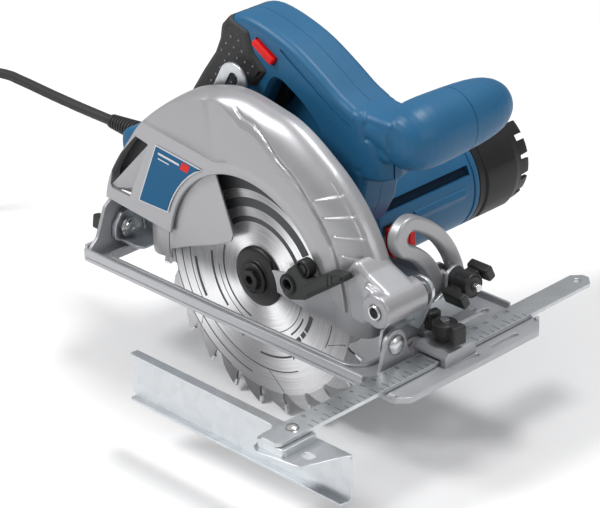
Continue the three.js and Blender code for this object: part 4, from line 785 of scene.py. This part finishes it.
# ---------------------------------------------------------------- wing knobs
def wing(r, h, w):
    """hub with two waisted wings, along +X from 0 to h, about the origin, in millimetres as [x, y, z] metres at P(0,0,0)"""
    hub_ = lathe("x", [(0, 0), (r - 1.6, 0), (r - 1.2, h * 0.12), (r - 0.4, h * 0.3), (r - 0.2, h * 0.74), (r - 0.6, h * 0.8), (r - 1.0, h * 0.80), (r - 1.3, h * 0.77), (r - 2.0, h * 0.77), (r - 2.3, h * 0.8), (0, h * 0.82)], 0, 0, 48)
    parts_ = [hub_]
    for s in (1, -1):
        ccw = (lambda q: q if s > 0 else q[::-1])
        parts_.append(plate("x", ccw([(s * 1.5, -r * 0.62), (s * (w - 3), -2.6), (s * (w - 3), 2.6), (s * 1.5, r * 0.62)]), h * 0.16, h * 0.66, bevel=1.0, res=4))
        parts_.append(plate("x", ccw(rnd([(s * (w - 6.4), -4.9), (s * w, -5.2), (s * w, 5.2), (s * (w - 6.4), 4.9)], 1.8, 4)), h * 0.10, h, bevel=1.3, res=4))
    return remesh(merge(*parts_), 0.42, 3)


def place(me, rot, to):
    """turn about the blade-frame origin by (axis, degrees) steps, then move in millimetres"""
    o = P(0, 0, 0)
    for ax, dg in rot: turn_mesh(me, o, ax, dg)
    me.transform(Matrix.Translation(Vector(to) * S))
    return me


k = place(wing(8, 12, 14), [("Z", 180), ("X", -8)], (-137.6, -2, 19))
k = boolean(k, lathe("x", [(0, -151), (4.15, -151), (4.15, -137), (0, -137)], -2, 19, 28))
link("rear_wing_knob", paint(k, "knob"), None, "rear_knob", ["rear_bevel_knob"], angle=40)
KY, KZ = -2 + 64.5 * cos(rad(18)), 19 + 64.5 * sin(rad(18))
k = place(wing(8.5, 19, 16), [("X", 25)], (114.5, KY, KZ))
k = boolean(k, lathe("x", [(0, 114), (3.05, 114), (3.05, 134.6), (0, 134.6)], KY, KZ, 28))
link("bevel_wing_knob", paint(k, "knob"), None, "bevel_clamp", ["bevel_knob"], angle=40)
k = place(wing(8.5, 14, 16), [("Y", -90), ("Z", 79)], (132, 30, 15))
screw_p = [(0, 8.2), (2.6, 8.2), (2.9, 8.6)]
for i in range(6): screw_p += [(2.55, 9.0 + i), (2.95, 9.5 + i)]
screw_p += [(2.9, 15.2), (2.9, 28.2), (0, 28.2)]
scr = paint(lathe("z", screw_p, 132, 30, 28), "steel")
link("fence_wing_knob", merge(paint(k, "knob"), scr), None, "fence_screw", ["fence_knob"], angle=40)
bb = lathe("x", [(0, 97.5), (5.4, 97.5), (6, 98), (6, 100), (5.6, 100.5), (2.8, 100.5), (2.8, 133), (2.3, 134), (0, 134)], KY, KZ, 32)
link("bevel_bolt", paint(bb, "steel"), None, "tilt_frame", ["bevel_clamp_bolt"])

# ------------------------------------------------------------- tilt brackets
sheet_o = [(-10, 12), (-6, 28), (2, 31), (18, 33), (24.5, 34), (40, 30), (52, 34)] + arc(KY, KZ, 9, 150, 0, 12) + [(72, 24), (66, 14), (20, 12.5)]
sheetm = plate("x", rnd(sheet_o, [4] * 7 + [0] * 13 + [3] * 3, 5), 111.6, 114.1, holes=[circle(-2, 19, 4.3, 24), circle(KY, KZ, 3.3, 24), circle(38, 21, 3.4, 24)], bevel=0.5, res=3)
earm = plate("y", rnd([(111.6, 20), (111.6, 54)], 1, 2, False) + arc(121, 48, 9.5, 150, -30, 18) + [(122, 26), (118, 20)], 20.6, 23.1, holes=[circle(121, 48, 5.3, 28)], bevel=0.5, res=3)
ridge = plate("x", rnd([(4, 24), (34, 24), (34, 25.6), (4, 25.6)], 0.6, 3), 113.6, 115.0, bevel=0.4, res=3)
link("front_bracket", paint(merge(sheetm, earm, ridge), "zinc"), None, "tilt_frame", ["front_tilt_bracket"], angle=40)
pin = lathe("y", [(3.4, -20.6), (3.6, -21.2), (4.6, -21.4), (5.0, -21.0), (5, 23.6), (6.6, 23.6), (7, 24), (7, 25.4), (6.4, 26), (0, 26), (0, -8), (3.2, -8)], 121, 48, 40)
link("depth_pin", paint(lathe("y", [(0, -9), (3.3, -9), (3.3, -20.6), (3.6, -21.3), (4.5, -21.4), (5.0, -20.9), (5, 23.6), (6.6, 23.6), (7, 24), (7, 25.4), (6.4, 26), (0, 26)], 121, 48, 40), "steel"), None, "tilt_frame", ["depth_pivot_pin"])
rear_o = [(-13, 12), (-9, 9), (8, 8), (14.6, 10), (14.6, 30), (8, 33), (-6, 29.5), (-12, 22)]
rb = plate("x", rnd(rear_o, 4, 6), -133.4, -130.9, holes=[circle(-2, 19, 4.3, 24)], bevel=0.5, res=3)
rbl = plate("x", shrink(rnd(rear_o, 4, 6), 0.1), -132.6, -129.6, holes=[shrink(rnd(rear_o, 4, 6), 2.0)], bevel=0.6, res=3)
rbf = plate("z", rnd([(-133.4, -9), (-112, -9), (-108, -6.5), (-108, 13), (-133.4, 13)], 2, 4), 9.4, 11.4, bevel=0.5, res=3)
link("rear_bracket", paint(merge(rb, rbl, rbf), "zinc"), None, "tilt_frame", ["rear_tilt_bracket"], angle=40)
e0 = (121 + 185 * cos(rad(148.5)), 48 + 185 * sin(rad(148.5)))
dq = arc(e0[0], e0[1], 12, -31.5, 148.5, 24) + arc(121, 48, 197, 150, 186, 30) + [(-76, 24), (-126, 28), (-130.6, 26), (-130.6, 12), (-110, 12.2), (-66, 8), (-54, 12)] + arc(121, 48, 173, 190, 150, 30)
dqm = plate("y", rnd(dq, [0] * 56 + [3] * 7 + [0] * 31, 4), 14.9, 17.3, holes=[slot_path(121, 48, 185, 3.9, 148, 184, 40)], bevel=0.6, res=4)
link("depth_arc", paint(dqm, "zinc"), None, "tilt_frame", ["depth_quadrant"], angle=40)

# ---------------------------------------------------------------------- fence
bar_o = [(123.5, -119), (126.5, -122), (137.5, -122), (140.5, -119), (140.5, 159), (134.5, 165), (129.5, 165), (123.5, 159)]
bar = paint(plate("z", rnd(bar_o, 1.5, 4), 4.6, 7.4, holes=[circle(132, 156, 2.6, 28), circle(132, -102, 2.4, 24)], bevel=0.35, res=3), "zinc")
ticks = []
for i in range(-1, 48):
    y = -88 + 5 * i
    if y > 97: break
    ln = 6.6 if i % 2 == 0 else 3.6
    x1 = 140.0
    ticks.append(mesh_from([P(x1 - ln, y - 0.22, 7.36), P(x1, y - 0.22, 7.36), P(x1, y + 0.22, 7.36), P(x1 - ln, y + 0.22, 7.36),
                            P(x1 - ln, y - 0.22, 7.44), P(x1, y - 0.22, 7.44), P(x1, y + 0.22, 7.44), P(x1 - ln, y + 0.22, 7.44)],
                           [(3, 2, 1, 0), (4, 5, 6, 7), (0, 1, 5, 4), (1, 2, 6, 5), (2, 3, 7, 6), (3, 0, 4, 7)]))


def digits(text, at, size, depth=0.0001, rot=0.0):
    tc = bpy.data.curves.new("num", "FONT")
    tc.body = text; tc.size = size; tc.extrude = depth / 2; tc.align_x = "CENTER"; tc.align_y = "CENTER"
    o = bpy.data.objects.new("num", tc); COL.objects.link(o)
    bpy.context.view_layer.update()
    me = bpy.data.meshes.new_from_object(o.evaluated_get(bpy.context.evaluated_depsgraph_get()))
    bpy.data.objects.remove(o); bpy.data.curves.remove(tc)
    me.transform(Matrix.Translation(at) @ Matrix.Rotation(rot, 4, "Z"))
    return me


nums = []
for n in range(0, 24):
    y = -88 + 10 * n
    if y > 97 or 12 < y < 48: continue
    nums.append(digits(str(n), P(127.4, y, 7.38), 0.0046, rot=pi / 2))
link("fence_rule", merge(bar, paint(merge(*ticks), "print"), paint(merge(*nums), "print")), None, "fence", ["fence_bar"], angle=35)
webo = [(-25, -30), (-22, -35), (166, -35), (170, -30), (170, -2), (-20, -1)]
webm = plate("y", rnd(webo, [3, 3, 5, 5, 2, 3], 5), -92, -90.4, bevel=0.35, res=3)
topo = [(-20, -92), (-20, -97), (112, -98), (120, -123), (126, -126), (158, -121), (166, -100), (170, -92), (170, -90.4), (-20, -90.4)]
topm = plate("z", rnd(topo, [1, 2, 6, 5, 4, 5, 5, 2, 0.5, 0.5], 5), -2.4, -0.8, holes=[circle(132, -102, 2.2, 20), rrect(148, -112, 156, -106, 1.5)], bevel=0.35, res=3)
footm = plate("z", rnd([(-22, -97), (166, -97), (166, -90.4), (-22, -90.4)], 2, 4), -35, -33.4, bevel=0.35, res=3)
bendm = plate("x", rnd([(-92, -33.4), (-92, -31), (-93.6, -33.4)], 0.1, 2), -20, 164, bevel=0.05, res=1)
padm = plate("z", rnd([(120, -121), (144, -121), (144, -93), (120, -93)], 3, 4), -2.2, 4.3, holes=[circle(132, -102, 2.4, 20)], bevel=0.7, res=3)
link("fence_rail", paint(merge(webm, topm, footm, padm), "zinc"), None, "fence", ["fence_plate"], angle=35)
link("fence_fastener", paint(lathe("z", [(0, 9.4), (2.2, 9.2), (3.6, 8.6), (4.2, 7.7), (2.1, 7.7), (2.1, -2.7), (4, -2.7), (3.6, -4.0), (2, -4.5), (0, -4.6)], 132, -102, 32), "steel"), None, "fence", ["fence_rivet"])


# ---------------------------------------------------------------------- motor
MX, MZ = 12, 48.1
barrel_p = [(33.9, 20.6), (34.4, 20.3), (37.2, 20.3), (37.7, 20.9), (37.7, 56), (37.5, 56.6), (36.9, 57), (36.9, 58.6), (37.5, 59), (37.7, 59.6), (37.7, 146.4), (37.4, 147), (36.6, 147.4), (36.6, 149.2), (37.4, 149.6), (37.7, 150.2), (37.7, 153.2), (37.2, 153.7), (34.6, 153.7), (34.2, 153.2), (34.2, 20.6)]
barrel = lathe("y", barrel_p, MX, MZ, 128)
pocket = plate("y", circle(0, 25, 24.3, 64), 20.3, 30.8, bevel=1.2, res=4)
body_ = boolean(barrel, boolean(pocket, merge(lathe("y", [(0, 10), (34.3, 10), (34.3, 60), (0, 60)], MX, MZ, 96), lathe("y", [(0, 10), (22.4, 10), (22.4, 29.8), (0, 29.8)], 0, 25, 64))), "UNION")
body_ = boolean(body_, plate("x", [(60.9, 30.9), (85.1, 30.9), (85.1, 53.1), (60.9, 53.1)], 40, 60, bevel=0.01, res=0))
# long groove and raised rib along the side of the barrel
gro = plate("y", arc(MX, MZ, 41, 19, 29.5, 8) + arc(MX, MZ, 35.0, 29.5, 19, 8), 62, 145.5, bevel=0.01, res=0)
# dark plate on the groove floor: painted shade in the groove
groove_shade_floor = paint(plate("y", arc(MX, MZ, 35.35, 19.4, 29.1, 8) + arc(MX, MZ, 34.8, 29.1, 19.4, 8), 62.4, 145.1, bevel=0.01, res=0), "painted_shade")
body_ = boolean(body_, gro)
rib = plate("y", rnd([(43, 66), (48.6, 62.6), (50.6, 59.6), (49.0, 57.2), (42, 60)], 1.2, 4), 66, 140, bevel=1.0, res=3)
rib2 = plate("y", rnd([(46, 55), (50.6, 53.6), (51.8, 50.0), (49.0, 44.4), (44, 46)], 1.6, 4), 90, 140, bevel=1.2, res=3)
keepout = lathe("y", [(0, 10), (34.6, 10), (34.6, 170), (0, 170)], MX, MZ, 64)
ribs3 = [boolean(r_, keepout) for r_ in (rib, rib2)]
seat_h = [circle(MX, MZ, 9.8, 32), rrect(MX - 9, MZ + 15, MX + 9, MZ + 27, 3), rrect(MX - 9, MZ - 27, MX + 9, MZ - 15, 3)]
seat = plate("y", circle(MX, MZ, 35, 64), 134, 146, holes=seat_h, bevel=0.3, res=2)
frame_ = plate("x", rrect(57.5, 27.5, 88.5, 56.5, 4, 6), 48.6, 50.4, holes=[rrect(61.4, 31.4, 84.6, 52.6, 2.5, 6)], bevel=0.6, res=3)
link("motor_barrel", merge(paint(merge(body_, seat, ribs3[1]), "blue"), groove_shade_floor), None, "main", ["motor_housing"], angle=35)
link("spindle_lock_pad", paint(merge(plate("x", rrect(62, 32, 84, 52, 3, 6), 50.6, 57, bevel=1.2, res=4),
     *[plate("x", rrect(64.5 + 4.4 * i, 34.5, 66.1 + 4.4 * i, 49.5, 0.7, 4), 56.7, 57.6, bevel=0.3, res=2) for i in range(4)]), "red"), None, "spindle_lock", ["spindle_lock_button"])

# vented end cap
cap_p = [(33.8, 154), (34.2, 153.9), (37.2, 154), (37.7, 154.6), (37.7, 158.4), (37.2, 158.9), (37.2, 159.9), (37.7, 160.4), (37.7, 189), (37.4, 191.4), (36.8, 193.6), (36.5, 194.6), (36.1, 199), (35.6, 203.8), (35.1, 205), (33.4, 205), (33.0, 204.4), (32.6, 197), (30, 197.2), (0, 197.2), (0, 193.6), (33.4, 193.6), (33.6, 193)]
cap = lathe("y", cap_p[:-4] + [(30, 196.4), (0, 196.4), (0, 193.6), (33.4, 193.6)], MX, MZ, 128)
cuts = []
for i in range(16):
    t = rad(360 * (i + 0.5) / 16)
    o = (MX + 34.5 * cos(t), MZ + 34.5 * sin(t))
    q = rnd([(-6, -2.1), (6, -2.1), (6, 2.1), (-6, 2.1)], 0.6, 3)
    cuts.append(plate("y", [(o[0] + u * cos(t) - v * sin(t), o[1] + u * sin(t) + v * cos(t)) for u, v in q], 196.9, 210, bevel=0.02, res=0))
for z in (-21, -14, -7, 0, 7, 14, 21):
    hw = 22 if abs(z) < 15 else 15
    cuts.append(plate("y", rrect(MX - hw, MZ + z - 1.7, MX + hw, MZ + z + 1.7, 1.6, 5), 190, 200, bevel=0.02, res=0))
cap = boolean(cap, merge(*cuts))
# raised rounded panels round the side of the cap
pan = []
for a0, a1 in ((-50, 23), (46, 96), (150, 206)):
    pts_o = arc(0, 0, 38.6, a0, a1, 14)
    v_, f_ = [], []
    n_ = 28
    rows = [(161.0, 37.2), (161.2, 38.0), (162.0, 38.5), (188.6, 38.5), (190.6, 38.1), (191.6, 37.0)]
    for i in range(n_ + 1):
        t = rad(a0 + (a1 - a0) * i / n_)
        e = min(i, n_ - i) / 3
        for y, r in rows:
            rr = 37.2 + (r - 37.2) * min(1, e) ** 0.5
            yy = y if e >= 1 else 174.4 + (y - 174.4) * (0.80 + 0.20 * min(1, e) ** 0.6)
            v_.append(P(MX + rr * cos(t), yy, MZ + rr * sin(t)))
    nr = len(rows)
    for i in range(n_):
        for j in range(nr - 1):
            f_.append((i * nr + j, i * nr + j + 1, (i + 1) * nr + j + 1, (i + 1) * nr + j))
    # inner side closes the panel
    base_i = len(v_)
    for i in range(n_ + 1):
        t = rad(a0 + (a1 - a0) * i / n_)
        for y in (162.4, 190.2):
            v_.append(P(MX + 36.6 * cos(t), y, MZ + 36.6 * sin(t)))
    for i in range(n_):
        b0, b1 = base_i + 2 * i, base_i + 2 * i + 2
        f_.append((b0, b1, b1 + 1, b0 + 1))
        f_.append((i * nr, (i + 1) * nr, b1, b0))
        f_.append((i * nr + nr - 1, b0 + 1, b1 + 1, (i + 1) * nr + nr - 1))
    f_.append(tuple(list(range(nr)) + [base_i + 1, base_i]))
    f_.append(tuple(list(reversed([n_ * nr + j for j in range(nr)])) + [base_i + 2 * n_, base_i + 2 * n_ + 1]))
    pan.append(mesh_from(v_, f_))
link("end_cap", paint(merge(cap, *pan), "black"), None, "main", ["motor_end_cap"], angle=35)

# ------------------------------------------------------------- gear case cover
gc_o = arc(0, 25, 24.2, 175, 340, 40) + arc(MX, MZ, 34, -38, 150, 50)
gc = plate("y", gc_o, 10.8, 20, bevel=1.2, res=3)
gc = boolean(merge(gc, ), lathe("y", [(0, 5), (11.3, 5), (11.3, 25), (0, 25)], 0, 25, 48))
link("gear_case", paint(merge(gc, lathe("y", [(6.6, 4.8), (13.8, 4.7), (14.2, 5.1), (14.2, 11.4), (6.6, 11.2)], 0, 25, 64)), "silver"), None, "main", ["gear_case_cover"], angle=35)

# ---------------------------------------------------------------- main handle
HANDLE = [(62, 144.5), (56, 148), (46, 152.5), (30, 162.5), (8, 174.5), (-14, 182), (-32, 185.4), (-44, 184.4), (-52, 179.5), (-56, 173), (-57.5, 165),
          (-63, 155), (-75, 139.5), (-86, 124), (-95, 109), (-106, 94), (-122, 83), (-142, 76), (-160, 71.5), (-166, 66), (-166, 54), (-160, 49), (-140, 50), (-112, 57), (-84, 63.5), (-50, 62), (-20, 60),
          (10, 60), (52, 62), (62, 80), (66, 100), (66, 106), (62, 110)]
HOLE = [(-10, 148), (-22, 128), (-36, 110), (-50, 95), (-53, 88), (-46, 84), (-20, 88), (10, 92), (22, 98), (28, 110), (28, 124), (19, 134), (4, 144)]


def smooth_closed(pts, per=6, keep=()):
    """Catmull-Rom round the outline; corners listed in keep stay sharp-ish"""
    n = len(pts); out = []
    for i in range(n):
        p0, p1, p2, p3 = (Vector(pts[(i + j) % n]) for j in (-1, 0, 1, 2))
        t1 = (p2 - p0) / 2 if i not in keep else (p2 - p1)
        t2 = (p3 - p1) / 2 if (i + 1) % n not in keep else (p2 - p1)
        L = (p2 - p1).length
        if t1.length > 1e-6: t1 = t1.normalized() * min(t1.length, L)
        if t2.length > 1e-6: t2 = t2.normalized() * min(t2.length, L)
        for k in range(per):
            t = k / per
            out.append(tuple((2 * t ** 3 - 3 * t ** 2 + 1) * p1 + (t ** 3 - 2 * t ** 2 + t) * t1 + (-2 * t ** 3 + 3 * t ** 2) * p2 + (t ** 3 - t ** 2) * t2))
    return out


ho = smooth_closed(HANDLE, 5, keep=(0, 28, 29, 32, 25, 26, 27))
hh = smooth_closed(HOLE, 6)
solid = plate("y", ho, 26.5, 63.5, bevel=5.5, res=8)
solid = boolean(solid, plate("y", hh, 20, 70, bevel=0.01, res=0))
# soft edge round the hand opening comes from a chamfered cutter on each face
for (lo, hi, grow0, grow1) in ((25.5, 30.5, 4.2, -0.2), (59.5, 64.5, -0.2, 4.2)):
    v_, f_ = [], []
    n_ = len(hh)
    K = 6
    for k in range(K + 1):
        t = k / K
        y = lo + (hi - lo) * t
        g = grow0 + (grow1 - grow0) * (sin(t * pi / 2) if grow0 > grow1 else 1 - cos(t * pi / 2))
        ring_ = shrink(hh, -max(g, -0.2))
        for p in ring_: v_.append(P(p[0], y, p[1]))
    for k in range(K):
        for i in range(n_):
            j = (i + 1) % n_
            f_.append((k * n_ + i, k * n_ + j, (k + 1) * n_ + j, (k + 1) * n_ + i))
    f_.append(tuple(range(n_))); f_.append(tuple(reversed([K * n_ + i for i in range(n_)])))
    solid = boolean(solid, mesh_from(v_, f_))
solid = boolean(solid, merge(lathe("y", [(0, 0), (38.0, 0), (38.0, 100), (0, 100)], MX, MZ, 128)))
solid = boolean(solid, lathe("y", [(0, 0), (24.8, 0), (24.8, 100), (0, 100)], 0, 25, 64))
red_o = [(-27.5, 169.5), (-24.5, 173.6), (-6.8, 164), (-10.5, 159.2)]
tr_pocket = [(-9, 151), (-24, 150), (-45, 128), (-45, 117), (-34, 112), (-10, 140), (-4, 146)]
solid = boolean(solid, plate("y", tr_pocket, 37.4, 52.6, bevel=0.01, res=0))
solid = boolean(solid, plate("y", rnd(shrink(red_o, -0.7), 1, 3), 20, 38, bevel=0.01, res=0))
solid = boolean(solid, lathe("x", [(0, -170), (5.4, -170), (5.4, -150), (0, -150)], 45, 61, 32))
# long side panels: a shallow recess under the crown on each side
rec_o = [(58, 141.4), (44, 147.6), (26, 157.0), (4, 169.0), (-4, 171.5), (-2, 168.8), (16, 158.0), (34, 147.0), (48, 139.6), (59, 134.8)]
for lo, hi in ((25.0, 27.5), (62.5, 65.0)):
    solid = boolean(solid, plate("y", smooth_closed(rec_o, 4, keep=(0, 9)), lo, hi, bevel=0.01, res=0))
groove = [(62, 141.0), (46, 148.3), (28, 158.3), (6, 170.2), (-12, 176.6)]
# parting line round the handle
part_cut = plate("y", smooth_closed(HANDLE, 5, keep=(0, 28, 29, 32, 25, 26, 27)), 44.78, 45.22, holes=[shrink(ho, 1.0)], bevel=0.01, res=0)
part_cut.transform(Matrix.Translation((0, 0, 0)))
right = boolean(solid, plate("y", [(-220, 0), (120, 0), (120, 220), (-220, 220)], 0, 44.86, bevel=0.01, res=0), "INTERSECT")
left_ = boolean(solid, plate("y", [(-220, 0), (120, 0), (120, 220), (-220, 220)], 45.14, 100, bevel=0.01, res=0), "INTERSECT")
link("handle_right", paint(right, "blue"), None, "main", ["handle_shell_right"], angle=36)
link("handle_left", paint(left_, "blue"), None, "main", ["handle_shell_left"], angle=36)

# rubber grip with raised dots
grip_o = [(-50, 182.6), (-58, 174.5), (-59.8, 165), (-65, 154), (-77, 138.4), (-88, 122.8), (-97, 107.8), (-84, 102), (-62, 112), (-38, 137), (-26, 139), (-14.5, 153), (-27, 164), (-31, 177)]
go = rnd(grip_o, [4, 6, 8, 10, 12, 12, 4, 4, 8, 5, 5, 4, 5, 5], 5)
gr = plate("y", go, 24.6, 65.4, bevel=5.2, res=7)
gr = boolean(gr, plate("y", shrink(ho, -0.3), 26.2, 63.8, bevel=5.3, res=6))
gr = boolean(gr, plate("y", hh, 10, 80, bevel=0.01, res=0))
gr = boolean(gr, plate("y", rnd(shrink(red_o, -0.9), 1, 3), 18, 33, bevel=0.01, res=0))
dots = []


def inside(p, poly):
    c = False
    n = len(poly)
    for i in range(n):
        (x1, y1), (x2, y2) = poly[i], poly[i - 1]
        if (y1 > p[1]) != (y2 > p[1]) and p[0] < (x2 - x1) * (p[1] - y1) / (y2 - y1) + x1: c = not c
    return c


gin = shrink(go, 6.4)
hin = shrink(hh, -3.0)
dirv = Vector((0.62, 0.785)); nrm = Vector((-0.785, 0.62))
for i in range(-16, 17):
    for j in range(-16, 17):
        p = Vector((-58, 145)) + dirv * (7.4 * i + (3.7 if j % 2 else 0)) + nrm * (6.2 * j)
        if not inside(p, gin) or inside(p, hin): continue
        for y, s_ in ((24.6, -1), (65.4, 1)):
            dots.append((p, y, s_))
dv, df = [], []
for p, y, s_ in dots:
    b0 = len(dv)
    for r, h in ((0.95, -0.15), (0.85, 0.3), (0.5, 0.5), (0.0, 0.55)):
        if r == 0: dv.append(P(p[0], y + s_ * h, p[1]))
        else:
            for k in range(10): dv.append(P(p[0] + r * cos(2 * pi * k / 10), y + s_ * h, p[1] + r * sin(2 * pi * k / 10)))
    for k in range(3):
        for q in range(10):
            q2 = (q + 1) % 10
            if k < 2: df.append((b0 + 10 * k + q, b0 + 10 * k + q2, b0 + 10 * (k + 1) + q2, b0 + 10 * (k + 1) + q))
            else: df.append((b0 + 20 + q, b0 + 20 + q2, b0 + 30))
    df.append(tuple(b0 + q for q in range(9, -1, -1)))
dm = bpy.data.meshes.new("dots"); dm.from_pydata([tuple(v) for v in dv], [], df)
bm = bmesh.new(); bm.from_mesh(dm); bmesh.ops.recalc_face_normals(bm, faces=bm.faces); bm.to_mesh(dm); bm.free()
M["dot"] = textured("grip_dots", (0.16, 0.165, 0.17), 0.5, 0.0, grain=900, grain_h=0.00003, strength=0.3, vary=0.1)
link("grip_cover", merge(paint(gr, "grip"), paint(dm, "dot")), None, "main", ["rubber_grip"], angle=38)

# trigger, lock button, cord gland
trg = [(-10, 147), (-15.5, 148.4), (-19, 144), (-33.5, 127), (-34, 123), (-29, 119.6), (-21, 121), (-12, 130), (-8.4, 139)]
link("trigger_key", paint(plate("y", rnd(trg, [2, 2, 6, 4, 3, 4, 6, 8, 6], 6), 38, 52, bevel=2.2, res=5), "black"), None, "trigger", ["trigger"])
link("lock_key", paint(plate("y", rnd(red_o, 1.6, 5), 23, 33, bevel=1.3, res=4), "red"), None, "lock_off", ["lock_off_button"])
gp = [(4.0, -196), (4.6, -196), (5.0, -195.4)]
for i in range(9):
    x = -194 + 2.9 * i; r = 5.0 + 2.1 * (i / 9)
    gp += [(r + 0.25, x), (r + 0.3, x + 1.5), (r - 0.5, x + 1.8), (r - 0.5, x + 2.5)]
gp += [(7.2, -167.6), (7.2, -166.4), (5.0, -166.4), (5.0, -156), (4.0, -156)]
gland = lathe("x", gp, 45, 61, 48)
glo = link("cord_relief", paint(gland, "cable"), None, "main", ["cord_gland"])

# ------------------------------------------------------------- front handle
bulb_p = [(0, 31.5), (6, 31.8), (11, 33.0), (15, 35.4), (18, 39.0), (20.2, 43.6), (21.6, 49.4), (22.3, 56), (22.4, 64), (22.0, 76), (21.6, 85), (21.0, 96), (20.2, 105), (19.2, 112), (17.8, 118), (15.8, 123), (13.0, 127.4), (9.2, 130.8), (5.4, 132.5), (2.4, 133.1), (0, 133.3)]
bulbm = lathe("y", bulb_p, 88, 131, 72)
rt = plate("y", rnd([(50, 149.0), (50, 117), (84, 115), (90, 146), (74, 145.6), (62, 146.4)], [1, 1, 6, 12, 8, 4], 6), 31.0, 62.5, bevel=6, res=6)
column = plate("z", rnd([(50, 28.5), (62, 27.6), (70, 28.6), (77.6, 32.4), (81, 39.5), (81.6, 46), (79, 54), (73.5, 59.7), (66, 62.0), (50, 62.0)], [1, 2, 4, 5, 5, 5, 5, 5, 4, 1], 5), 102.6, 129, bevel=1.4, res=4)
cone = lathe("x", [(0, 48), (0.6, 50), (19.4, 84), (0, 86)], 0, 0, 48)
for v in cone.vertices:
    w_ = v.co - P(0, 0, 0)
    t_ = (w_.x * 1000 - 50) / 34
    v.co = w_ + P(0, 29.0 + 20.0 * t_, 137.6 - 6.0 * t_)
collar = plate("y", rnd([(50, 149), (50, 104), (62, 104), (67, 110), (67, 142.5), (62, 146.2)], [1, 1, 2, 4, 4, 3], 5), 27.0, 63.0, bevel=5.0, res=6)
fh = remesh(merge(bulbm, rt, column, cone, collar), 0.75, 4, 0.5)
# flat sides where it meets the main handle
clip = plate("x", [(0, 80), (170, 80), (170, 175), (0, 175)], 55.5, 120, bevel=0.01, res=0)
fh = boolean(fh, clip, "INTERSECT")
fi = boolean(fh, plate("x", [(0, 80), (84.75, 80), (84.75, 175), (0, 175)], 40, 130, bevel=0.01, res=0), "INTERSECT")
fo = boolean(fh, plate("x", [(85.25, 80), (170, 80), (170, 175), (85.25, 175)], 40, 130, bevel=0.01, res=0), "INTERSECT")
spigot = lathe("y", [(0, 80), (20.6, 80), (20.6, 90), (0, 90)], 88, 131, 56)
fi = merge(fi, spigot)
split = plate("z", [(78.6, 40.2), (86, 37.4), (86, 38.4), (78.6, 41.4)], 102, 126, bevel=0.01, res=0)
fi = boolean(fi, split)
link("front_grip_inner", paint(fi, "blue"), None, "main", ["front_handle_inner"], angle=40)
link("front_grip_outer", paint(fo, "blue"), None, "main", ["front_handle_outer"], angle=40)

# depth clamp: bolt and flat lever behind the guard
lv = plate("y", rnd([(-66, 50), (-96, 53), (-108, 49), (-107, 43), (-96, 44), (-68, 37)], [1, 6, 3, 3, 4, 1], 5), 18.4, 22.6, holes=[circle(-64, 43, 3.2, 24)], bevel=0.9, res=4)
lh = lathe("y", [(3.2, 17.7), (7.4, 17.7), (8, 18.3), (8, 23.2), (7.4, 24), (3.2, 24)], -64, 43, 40)
link("depth_lever_arm", paint(merge(lh, boolean(lv, lathe("y", [(0, 10), (3.2, 10), (3.2, 30), (0, 30)], -64, 43, 24))), "knob"), None, "depth_lever", ["depth_clamp_lever"], angle=40)
link("depth_bolt", paint(lathe("y", [(0, 10.9), (6.2, 10.9), (6.6, 11.3), (6.6, 14.0), (6.1, 14.5), (2.9, 14.5), (2.9, 24.2), (2.5, 24.6), (0, 24.6)], -64, 43, 36), "steel"), None, "main", ["depth_clamp_bolt"])
link("shell_screw", paint(boolean(lathe("y", [(0, 63.8), (3.8, 63.8), (3.7, 64.6), (3.0, 65.2), (0, 65.4)], 42, 132, 32), merge(plate("y", [(39, 131.6), (45, 131.6), (45, 132.4), (39, 132.4)], 64.6, 66, bevel=0.01, res=0))), "steel"), None, "main", ["handle_screw"])

# plug lying beside the coil
po = [(-349, -65.8), (-336, -68.5), (-331, -78), (-318, -79.8), (-308, -74), (-305, -66), (-305, -57.6), (-308, -49.6), (-318, -43.8), (-331, -45.6), (-336, -55.1), (-349, -57.8)]
plug = plate("z", rnd(po, [1.5, 8, 8, 8, 8, 5, 5, 8, 8, 8, 8, 1.5], 6), -70, -54, bevel=3.2, res=5)
plug_o = link("mains_plug", paint(plug, "cable"), None, "main", ["plug_body"], angle=40)
for n_, y in (("plug_contact_1", -71.3), ("plug_contact_2", -52.3)):
    me = lathe("x", [(0, -304.7), (2.4, -304.7), (2.4, -288.2), (2.0, -286.8), (1.2, -285.9), (0, -285.7)], y, -62, 32)
    link(n_, paint(me, "steel"), None, "main", [n_.replace("contact", "pin")])

# -------------------------------------------- carried-over pieces keep their CAD shape
for names, mat in ((["stator_core", "bearing_bridge", "spindle_gear", "inner_flange"], "iron"),
                   (["spindle_bearing_front", "spindle_bearing_rear", "armature_bearing_front", "armature_bearing_rear", "spindle_shaft", "armature_shaft", "guard_spring"], "steel"),
                   (["carbon_brush_front", "carbon_brush_rear", "switch_module", "cooling_fan"], "black"),
                   (["armature_core", "commutator"], "copper")):
    for n_ in names:
        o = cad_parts[n_]
        o.data.materials.clear(); o.data.materials.append(M[mat])
        o.data.set_sharp_from_angle(angle=rad(30))
